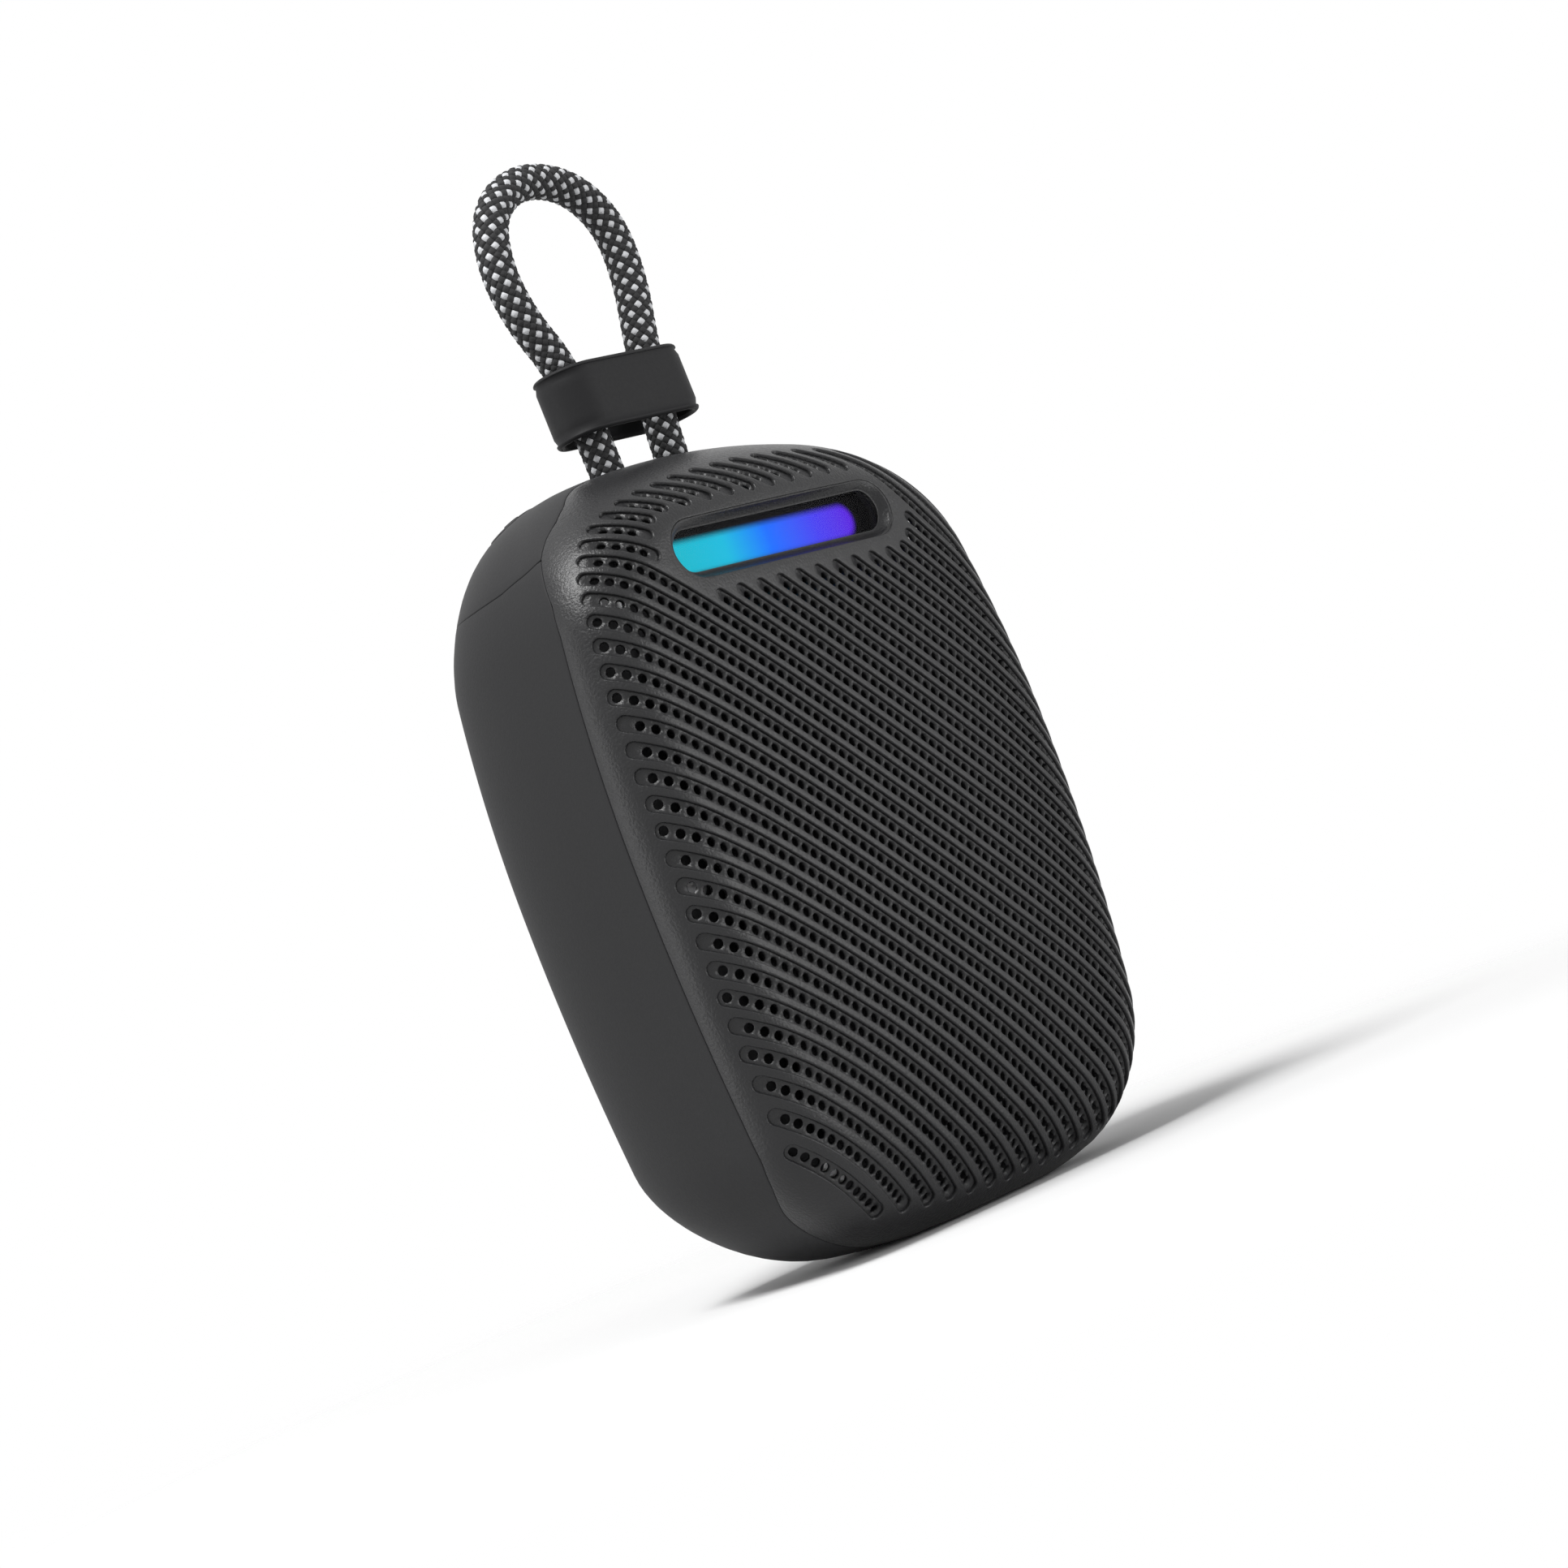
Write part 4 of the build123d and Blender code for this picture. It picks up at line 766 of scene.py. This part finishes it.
for hole, depth, ids in back_holes:
    edge = rear_points[ids]
    normals = np.tile([0.0, 1.0, 0.0], (len(edge), 1))
    away = edge_direction(edge, normals, 1)
    if ((edge.mean(0) - edge) * away).sum() < 0:
        away = -away
    rolled_edge(rear, ids, edge, normals, away, BACK_ROLL, depth, 3)
    if hole is port_outline:
        floor_edge = edge + away * BACK_ROLL
        slot_hole = stadium(5.5, 2.6, 12) + [0, PORT_Z]
        seat = np.array([(-4.1, 40.3), (4.1, 40.3), (4.1, 43.2), (-4.1, 43.2)])
        base, base_tris, base_loops = triangles(floor_edge[:, [0, 2]], [slot_hole, seat], [])
        base_ids = rear.add(np.stack([base[:, 0], np.full(len(base), REAR - depth), base[:, 1]], 1))
        rear.faces += [tuple(base_ids[i] for i in t)[::-1] for t in base_tris]
        pockets = ((slot_hole, 6.5, False, base_loops[1]), (seat, 2.7, True, base_loops[2]))
        for inner, inner_depth, closed, numbers in pockets:
            top_ring = [base_ids[i] for i in numbers]
            ring = rear.add(np.stack([inner[:, 0], np.full(len(inner), REAR - inner_depth), inner[:, 1]], 1))
            rear.bridge(top_ring, ring)
            if closed:
                rear.faces.append(tuple(ring))
rear_piece = rear.done("rear_face", "housing", "soft_shell")
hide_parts("rear_shell")

# ---------------------------------------------------------------- slider

SLIDER = dict(half=13.2, depth=5.5, height=10.4, wall=1.2, x=0.8, z=123.8, tilt=math.radians(1.2))


def slider_point(across, y, rise):
    c, s = math.cos(SLIDER["tilt"]), math.sin(SLIDER["tilt"])
    return (SLIDER["x"] + across * c - rise * s, ROPE_Y + y, SLIDER["z"] + across * s + rise * c)


def slider_ring(inset, rise):
    ring = stadium(SLIDER["half"] - inset, SLIDER["depth"] - inset, 26)
    return [slider_point(x, y, rise) for x, y in ring]


slider = Builder()
edge_radius = 0.55
section = []
for k in range(6):
    a = math.pi / 2 * k / 5
    section.append((edge_radius * (1 - math.sin(a)), edge_radius * (1 - math.cos(a))))
walls = SLIDER["wall"]
rows = section[::-1]
rows += [(0.0, rise) for rise in np.linspace(edge_radius, SLIDER["height"] - edge_radius, 9)[1:-1]]
rows += [(inset, SLIDER["height"] - rise) for inset, rise in section]
rows += [(walls - inset, SLIDER["height"] - rise) for inset, rise in section[::-1]]
rows += [(walls, rise) for rise in np.linspace(SLIDER["height"] - edge_radius, edge_radius, 9)[1:-1]]
rows += [(walls - inset, rise) for inset, rise in section]
rings = [slider.add(slider_ring(inset, rise)) for inset, rise in rows]
for a, b in zip(rings, rings[1:] + rings[:1]):
    slider.bridge(a, b)
slider_piece = slider.done("slider_band", "slider", "band_rubber")
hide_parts("strap_slider")

# ---------------------------------------------------------------- keys


def icon_strokes(kind):
    """Centre lines of a key's raised symbol, in plan millimetres round the key's middle."""
    if kind == "power":
        a = np.radians(np.linspace(125, 415, 15))
        return [np.stack([1.05 * np.cos(a), 1.05 * np.sin(a) - 0.1], 1), np.array([(0, 0.25), (0, 1.3)])]
    if kind == "pairing":
        a = np.radians(np.linspace(-55, 55, 9))
        arcs = [np.stack([r * np.cos(a) - 1.1, r * np.sin(a)], 1) for r in (1.0, 1.9)]
        return arcs + [np.array([(-1.25, 0.0), (-1.0, 0.0)])]
    if kind == "play":
        arrow = np.array([(-1.3, -1.0), (-1.3, 1.0), (0.2, 0.0), (-1.3, -1.0)])
        return [arrow] + [np.array([(x, -0.9), (x, 0.9)]) for x in (0.8, 1.5)]
    bar = np.array([(-1.2, 0.0), (1.2, 0.0)])
    if kind == "minus":
        return [bar]
    return [bar, np.array([(0.0, -1.2), (0.0, -0.2)]), np.array([(0.0, 0.2), (0.0, 1.2)])]


KEY_RISE = 0.2
KEY_ROLL, KEY_RIM = 0.45, 1.5
ICON_HALF, ICON_RISE = 0.16, 0.1  # half width of a stroke, and its height
for x, kind in BUTTONS:
    body = kind + "_key"
    key = Builder()
    top_plan = stadium(KEY_HALF - KEY_ROLL, KEY_ROUND - KEY_ROLL, 14) + [x, BUTTON_Y]
    gx, gz = np.meshgrid(np.arange(-4, 4.1, 0.8), np.arange(-3, 3.1, 0.8))
    extra = np.stack([gx.ravel() + x, gz.ravel() + BUTTON_Y], 1) + 0.03
    extra = extra[inside(extra, stadium(3.5, 2.4, 14) + [x, BUTTON_Y])]
    flat, tris, loops = triangles(top_plan, [], extra)
    chart = cover_chart(flat)
    # the top is slightly crowned
    off_centre = ((flat - [x, BUTTON_Y]) ** 2).sum(1)[:, None]
    points = shell_point(chart) + shell_normals(chart) * (KEY_RISE - 0.05 * off_centre / 10)
    key.add(points)
    key.faces += tris
    edge = points[loops[0]]
    normals = shell_normals(cover_chart(top_plan))
    away = edge_direction(edge, normals, 1)
    if ((edge - edge.mean(0)) * away).sum() < 0:
        away = -away
    rolled_edge(key, loops[0], edge, normals, away, KEY_ROLL, KEY_RIM, 5)
    for stroke in icon_strokes(kind):
        along = np.gradient(stroke, axis=0)
        along /= np.linalg.norm(along, axis=1, keepdims=True)
        beside = np.stack([-along[:, 1], along[:, 0]], 1) * ICON_HALF
        rails = [stroke - beside, stroke + beside]
        foot_rows, top_rows = [], []
        for rail in rails:
            chart = cover_chart(rail + [x, BUTTON_Y])
            surface, normals = shell_point(chart), shell_normals(chart)
            foot_rows.append(key.add(surface + normals * (KEY_RISE - ICON_RISE)))
            top_rows.append(key.add(surface + normals * (KEY_RISE + ICON_RISE)))
        key.bridge(foot_rows[0], top_rows[0], False)
        key.bridge(top_rows[0], top_rows[1], False)
        key.bridge(top_rows[1], foot_rows[1], False)
        for end in (0, -1):
            key.faces.append((foot_rows[0][end], top_rows[0][end], top_rows[1][end], foot_rows[1][end]))
    piece = key.done("key_" + kind, body, "soft_cover")
    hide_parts("button_" + kind)

# ---------------------------------------------------------------- rope braid

steps = np.concatenate([[0], np.cumsum(np.linalg.norm(np.diff(rope_line, axis=0), axis=1))])
STRANDS = 12  # each way round
LAY = 16.4  # length of rope in which a strand goes once round
STRAND_PATH, WEAVE = 2.27, 0.17  # from the rope's middle to a strand's, and how far it swings
STRAND_WIDE, STRAND_THICK = 0.5, 0.24  # halves
count = int(rope_length / (LAY / STRANDS) * 6)
travel = np.linspace(0, steps[-1], count)
centre = np.stack([np.interp(travel, steps, rope_line[:, i]) for i in range(3)], 1)
tangent = np.gradient(centre, axis=0)
tangent /= np.linalg.norm(tangent, axis=1, keepdims=True)
across = np.tile([0.0, 1.0, 0.0], (count, 1))
side = np.cross(tangent, across)
angle_of = 2 * math.pi * travel / LAY


def braid(name, strands):
    """Strands (way round, number), each over and under those of the other way."""
    rope = Builder()
    for sense, i in strands:
        angle = sense * angle_of + 2 * math.pi * i / STRANDS
        weave = sense * np.cos(STRANDS * angle_of)
        reach = STRAND_PATH + WEAVE * np.clip(weave * 1.4, -1, 1)
        radial = np.cos(angle)[:, None] * side + np.sin(angle)[:, None] * across
        line = centre + radial * reach[:, None]
        forward = np.gradient(line, axis=0)
        forward /= np.linalg.norm(forward, axis=1, keepdims=True)
        wide = np.cross(forward, radial)
        wide /= np.linalg.norm(wide, axis=1, keepdims=True)
        rings = []
        for a in np.arange(8) * math.pi / 4 + math.pi / 8:
            rings.append(line + wide * STRAND_WIDE * math.cos(a) + radial * STRAND_THICK * math.sin(a))
        rings = np.stack(rings, 1)
        ids = [rope.add(ring) for ring in rings]
        for a, b in zip(ids, ids[1:]):
            rope.bridge(a, b)
        rope.faces += [tuple(ids[0]), tuple(ids[-1])]
    return rope.done(name, "housing", "rope_cord")


light_strands = braid("strap_strands_light", [(1, i) for i in range(0, STRANDS, 2)])
dark_strands = braid("strap_strands_dark", [(1, i) for i in range(1, STRANDS, 2)])
back_strands = braid("strap_strands_back", [(-1, i) for i in range(STRANDS)])
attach(strap_core, "housing")
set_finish(strap_core, "rope_cord")
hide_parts("strap_loop")

# ---------------------------------------------------------------- finishes


def shader(name):
    material = bpy.data.materials.new(name)
    material.use_nodes = True
    tree = material.node_tree
    return material, tree, tree.nodes["Principled BSDF"]


def finish_of(name, colour, rough, metal=0.0, grain=900.0, bump=0.00003, shade=0.12, spread=0.06,
              patch=60.0, specular=0.5):
    """A procedural finish: fine grain in the bump, and slow patches in colour and roughness."""
    material, tree, bsdf = shader(name)
    new, join = tree.nodes.new, tree.links.new
    place = new("ShaderNodeTexCoord")
    fine = new("ShaderNodeTexNoise")
    fine.inputs["Scale"].default_value = grain
    fine.inputs["Detail"].default_value = 3.0
    slow = new("ShaderNodeTexNoise")
    slow.inputs["Scale"].default_value = patch
    slow.inputs["Detail"].default_value = 4.0
    join(place.outputs["Object"], fine.inputs["Vector"])
    join(place.outputs["Object"], slow.inputs["Vector"])
    ramp = new("ShaderNodeMix")
    ramp.data_type = "RGBA"
    ramp.inputs["A"].default_value = (*[c * (1 - shade) for c in colour], 1)
    ramp.inputs["B"].default_value = (*[min(1, c * (1 + shade)) for c in colour], 1)
    join(slow.outputs["Fac"], ramp.inputs["Factor"])
    join(ramp.outputs["Result"], bsdf.inputs["Base Color"])
    level_of = new("ShaderNodeMapRange")
    level_of.inputs["To Min"].default_value = rough - spread
    level_of.inputs["To Max"].default_value = rough + spread
    join(fine.outputs["Fac"], level_of.inputs["Value"])
    join(level_of.outputs["Result"], bsdf.inputs["Roughness"])
    relief = new("ShaderNodeBump")
    relief.inputs["Strength"].default_value = 1.0
    relief.inputs["Distance"].default_value = bump
    join(fine.outputs["Fac"], relief.inputs["Height"])
    join(relief.outputs["Normal"], bsdf.inputs["Normal"])
    bsdf.inputs["Metallic"].default_value = metal
    bsdf.inputs["Specular IOR Level"].default_value = specular
    return material


FINISHES = {
    "soft_shell": finish_of("soft_shell", (0.017, 0.017, 0.018), 0.62,
        grain=2600, bump=0.00002, shade=0.06, patch=40, specular=0.22),
    "soft_cover": finish_of("soft_cover", (0.018, 0.018, 0.019), 0.58,
        grain=2600, bump=0.00002, shade=0.06, patch=40, specular=0.20),
    "grille_plastic": finish_of("grille_plastic", (0.013, 0.013, 0.014), 0.36,
        grain=2600, bump=0.00009, shade=0.1, patch=50, spread=0.12, specular=0.35),
    "band_rubber": finish_of("band_rubber", (0.012, 0.012, 0.013), 0.6,
        grain=1800, bump=0.00002, shade=0.1, patch=70, specular=0.2),
    "foot_rubber": finish_of("foot_rubber", (0.02, 0.02, 0.021), 0.8, grain=1500),
    "seal_rubber": finish_of("seal_rubber", (0.03, 0.03, 0.032), 0.7, grain=1500),
    "surround_rubber": finish_of("surround_rubber", (0.018, 0.018, 0.02), 0.5, grain=1200),
    "inner_plastic": finish_of("inner_plastic", (0.03, 0.03, 0.033), 0.6, grain=1400),
    "screw_steel": finish_of("screw_steel", (0.55, 0.55, 0.56), 0.32, metal=1.0, grain=2200, bump=0.00001),
    "mesh_cloth": finish_of("mesh_cloth", (0.008, 0.008, 0.009), 0.9, grain=3600, bump=0.00008),
    "diffuser_white": finish_of("diffuser_white", (0.7, 0.72, 0.75), 0.5, grain=1200),
    "circuit_board": finish_of("circuit_board", (0.01, 0.08, 0.04), 0.35, grain=900, shade=0.2),
    "led_white": finish_of("led_white", (0.75, 0.74, 0.68), 0.3, grain=1500),
    "lead_sleeve": finish_of("lead_sleeve", (0.25, 0.02, 0.02), 0.45, grain=1500),
    "driver_steel": finish_of("driver_steel", (0.35, 0.35, 0.36), 0.38, metal=1.0, grain=1500),
    "cone_paper": finish_of("cone_paper", (0.025, 0.025, 0.026), 0.8, grain=1600, bump=0.00006),
    "coil_wire": finish_of("coil_wire", (0.6, 0.28, 0.12), 0.35, metal=1.0, grain=2500),
    "spider_cloth": finish_of("spider_cloth", (0.45, 0.3, 0.1), 0.85, grain=2600, bump=0.00006),
    "magnet_dark": finish_of("magnet_dark", (0.05, 0.05, 0.05), 0.6, grain=1800),
    "cell_wrap": finish_of("cell_wrap", (0.02, 0.1, 0.25), 0.35, grain=700),
    "foam": finish_of("foam", (0.03, 0.03, 0.03), 0.95, grain=1800, bump=0.0001),
    "chip_black": finish_of("chip_black", (0.015, 0.015, 0.016), 0.5, grain=2200),
    "can_steel": finish_of("can_steel", (0.5, 0.5, 0.5), 0.3, metal=1.0, grain=1200),
    "rope_cord": finish_of("rope_cord", (0.012, 0.012, 0.013), 0.8, grain=4000, bump=0.00006),
    "smoked_lens": finish_of("smoked_lens", (0.01, 0.01, 0.012), 0.12, grain=800, bump=0.000002),
}
rope_light = finish_of("rope_light", (0.62, 0.63, 0.65), 0.5, grain=4000, bump=0.00006)
slots = {row["node"]: row["material_slot"] for row in frame["record"]["subparts"]}
for name, node in nodes.items():
    node.data.materials.clear()
    node.data.materials.append(FINISHES[slots[name]])
    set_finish(node, slots[name])
for piece in list(bpy.context.scene.objects):
    if piece.type in ("MESH", "CURVE") and "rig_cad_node" not in piece and "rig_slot" in piece:
        piece.data.materials.clear()
        piece.data.materials.append(FINISHES[piece["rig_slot"]])
light_strands.data.materials[0] = rope_light

# ---------------------------------------------------------------- glow

glow, tree, bsdf = shader("light_glow")
new, join = tree.nodes.new, tree.links.new
place = new("ShaderNodeTexCoord")
split = new("ShaderNodeSeparateXYZ")
join(place.outputs["Object"], split.inputs["Vector"])
ramp = new("ShaderNodeValToRGB")
level_of = new("ShaderNodeMapRange")
level_of.inputs["From Min"].default_value = -0.023
level_of.inputs["From Max"].default_value = 0.023
join(split.outputs["X"], level_of.inputs["Value"])
join(level_of.outputs["Result"], ramp.inputs["Fac"])
stops = [
    (0.0, (0.12, 0.02, 0.45)),
    (0.06, (0.10, 0.02, 0.5)),
    (0.11, (0.0, 0.40, 0.50)),
    (0.32, (0.0, 0.42, 0.62)),
    (0.52, (0.0, 0.13, 0.85)),
    (0.74, (0.05, 0.04, 0.75)),
    (0.92, (0.09, 0.01, 0.62)),
    (1.0, (0.03, 0.0, 0.1)),
]
ramp.color_ramp.elements[0].position = stops[0][0]
ramp.color_ramp.elements[0].color = (*stops[0][1], 1)
ramp.color_ramp.elements[1].position = stops[-1][0]
ramp.color_ramp.elements[1].color = (*stops[-1][1], 1)
for where, colour in stops[1:-1]:
    element = ramp.color_ramp.elements.new(where)
    element.color = (*colour, 1)


def arithmetic(kind, first, second):
    """A Math node in the node tree in hand."""
    node = new("ShaderNodeMath")
    node.operation = kind
    for socket, value in zip(node.inputs, (first, second)):
        if isinstance(value, float):
            socket.default_value = value
        elif value is not None:
            join(value, socket)
    return node.outputs["Value"]


# distance from the middle line of the lit bar, in metres
BAR_SHIFT, BAR_HALF, BAR_Z = 0.001, 0.0178, 0.0998
BAR_DARK, BAR_FULL = 0.0031, 0.0017  # distances at which the light has ended and is full
off_middle = arithmetic("ABSOLUTE", arithmetic("ADD", split.outputs["X"], BAR_SHIFT), None)
past_end = arithmetic("MAXIMUM", arithmetic("SUBTRACT", off_middle, BAR_HALF), 0.0)
off_line = arithmetic("SUBTRACT", split.outputs["Z"], BAR_Z)
along_square = arithmetic("POWER", past_end, 2.0)
across_square = arithmetic("POWER", arithmetic("ABSOLUTE", off_line, None), 2.0)
reach = arithmetic("SQRT", arithmetic("ADD", along_square, across_square), None)
bell = new("ShaderNodeMapRange")
bell.interpolation_type = "SMOOTHSTEP"
bell.inputs["From Min"].default_value = BAR_DARK
bell.inputs["From Max"].default_value = BAR_FULL
join(reach, bell.inputs["Value"])
mixed = new("ShaderNodeMix")
mixed.data_type = "RGBA"
mixed.blend_type = "MULTIPLY"
mixed.inputs["Factor"].default_value = 1.0
join(ramp.outputs["Color"], mixed.inputs["A"])
join(bell.outputs["Result"], mixed.inputs["B"])
join(mixed.outputs["Result"], bsdf.inputs["Emission Color"])
bsdf.inputs["Emission Strength"].default_value = 1.5
bsdf.inputs["Specular IOR Level"].default_value = 0.05
bsdf.inputs["Base Color"].default_value = (0.01, 0.01, 0.012, 1)
nodes["light_diffuser"].data.materials[0] = glow

lens = finish_of("smoked_lens_clear", (0.01, 0.01, 0.012), 0.12, grain=800, bump=0.000002)
lens.node_tree.nodes["Principled BSDF"].inputs["Alpha"].default_value = 0.12
nodes["light_lens"].data.materials[0] = lens

# ---------------------------------------------------------------- lamps, world and floor


def lamp(name, direction, size, power, target=(0, 0, 0.062), reach=0.9):
    data = bpy.data.lights.new(name, "AREA")
    data.shape = "RECTANGLE"
    data.size, data.size_y = size
    data.energy = power
    light = bpy.data.objects.new(name, data)
    bpy.context.scene.collection.objects.link(light)
    direction = (right * direction[0] + up * direction[1] + back * direction[2]).normalized()
    light.location = Vector(target) + direction * reach
    light.rotation_euler = direction.to_track_quat("Z", "Y").to_euler()


lamp("key_light", (-0.62, 0.8, 0.35), (0.35, 0.35), 8.0)
lamp("side_light", (-0.95, -0.25, 0.3), (0.3, 0.8), 2.0)
lamp("fill_light", (0.95, 0.35, 0.35), (0.5, 0.7), 4.0)

world = bpy.data.worlds.new("world")
bpy.context.scene.world = world
world.use_nodes = True
tree = world.node_tree
new, join = tree.nodes.new, tree.links.new
paths = new("ShaderNodeLightPath")
white = new("ShaderNodeBackground")
white.inputs["Color"].default_value = (1, 1, 1, 1)
dim = new("ShaderNodeBackground")
dim.inputs["Color"].default_value = (1, 1, 1, 1)
dim.inputs["Strength"].default_value = 0.30
pick = new("ShaderNodeMixShader")
seen = arithmetic("MAXIMUM", paths.outputs["Is Camera Ray"], paths.outputs["Is Glossy Ray"])
join(arithmetic("MAXIMUM", seen, paths.outputs["Is Transmission Ray"]), pick.inputs["Fac"])
join(dim.outputs["Background"], pick.inputs[1])
join(white.outputs["Background"], pick.inputs[2])
join(pick.outputs["Shader"], tree.nodes["World Output"].inputs["Surface"])

FLOOR_RADIUS, FLOOR_SIDES = 420, 64
ring = circle(0, 0, FLOOR_RADIUS, FLOOR_SIDES)
floor_mesh = bpy.data.meshes.new("floor")
floor_mesh.from_pydata([(x * MM, y * MM, 0) for x, y in ring], [], [tuple(range(FLOOR_SIDES))])
floor_piece = bpy.data.objects.new("floor", floor_mesh)
bpy.context.scene.collection.objects.link(floor_piece)
material, tree, bsdf = shader("floor")
bsdf.inputs["Base Color"].default_value = (0.9, 0.9, 0.9, 1)
bsdf.inputs["Roughness"].default_value = 0.9
new, join = tree.nodes.new, tree.links.new
place = new("ShaderNodeTexCoord")
span = new("ShaderNodeVectorMath")
span.operation = "LENGTH"
join(place.outputs["Object"], span.inputs[0])
fade = new("ShaderNodeMapRange")
fade.interpolation_type = "SMOOTHSTEP"
fade.inputs["From Min"].default_value = 0.05
fade.inputs["From Max"].default_value = 0.2
join(span.outputs["Value"], fade.inputs["Value"])
away_shader = new("ShaderNodeBsdfTransparent")
blend = new("ShaderNodeMixShader")
join(fade.outputs["Result"], blend.inputs["Fac"])
join(bsdf.outputs["BSDF"], blend.inputs[1])
join(away_shader.outputs["BSDF"], blend.inputs[2])
join(blend.outputs["Shader"], tree.nodes["Material Output"].inputs["Surface"])
floor_piece.data.materials.append(material)

bpy.context.scene.view_settings.view_transform = "Standard"
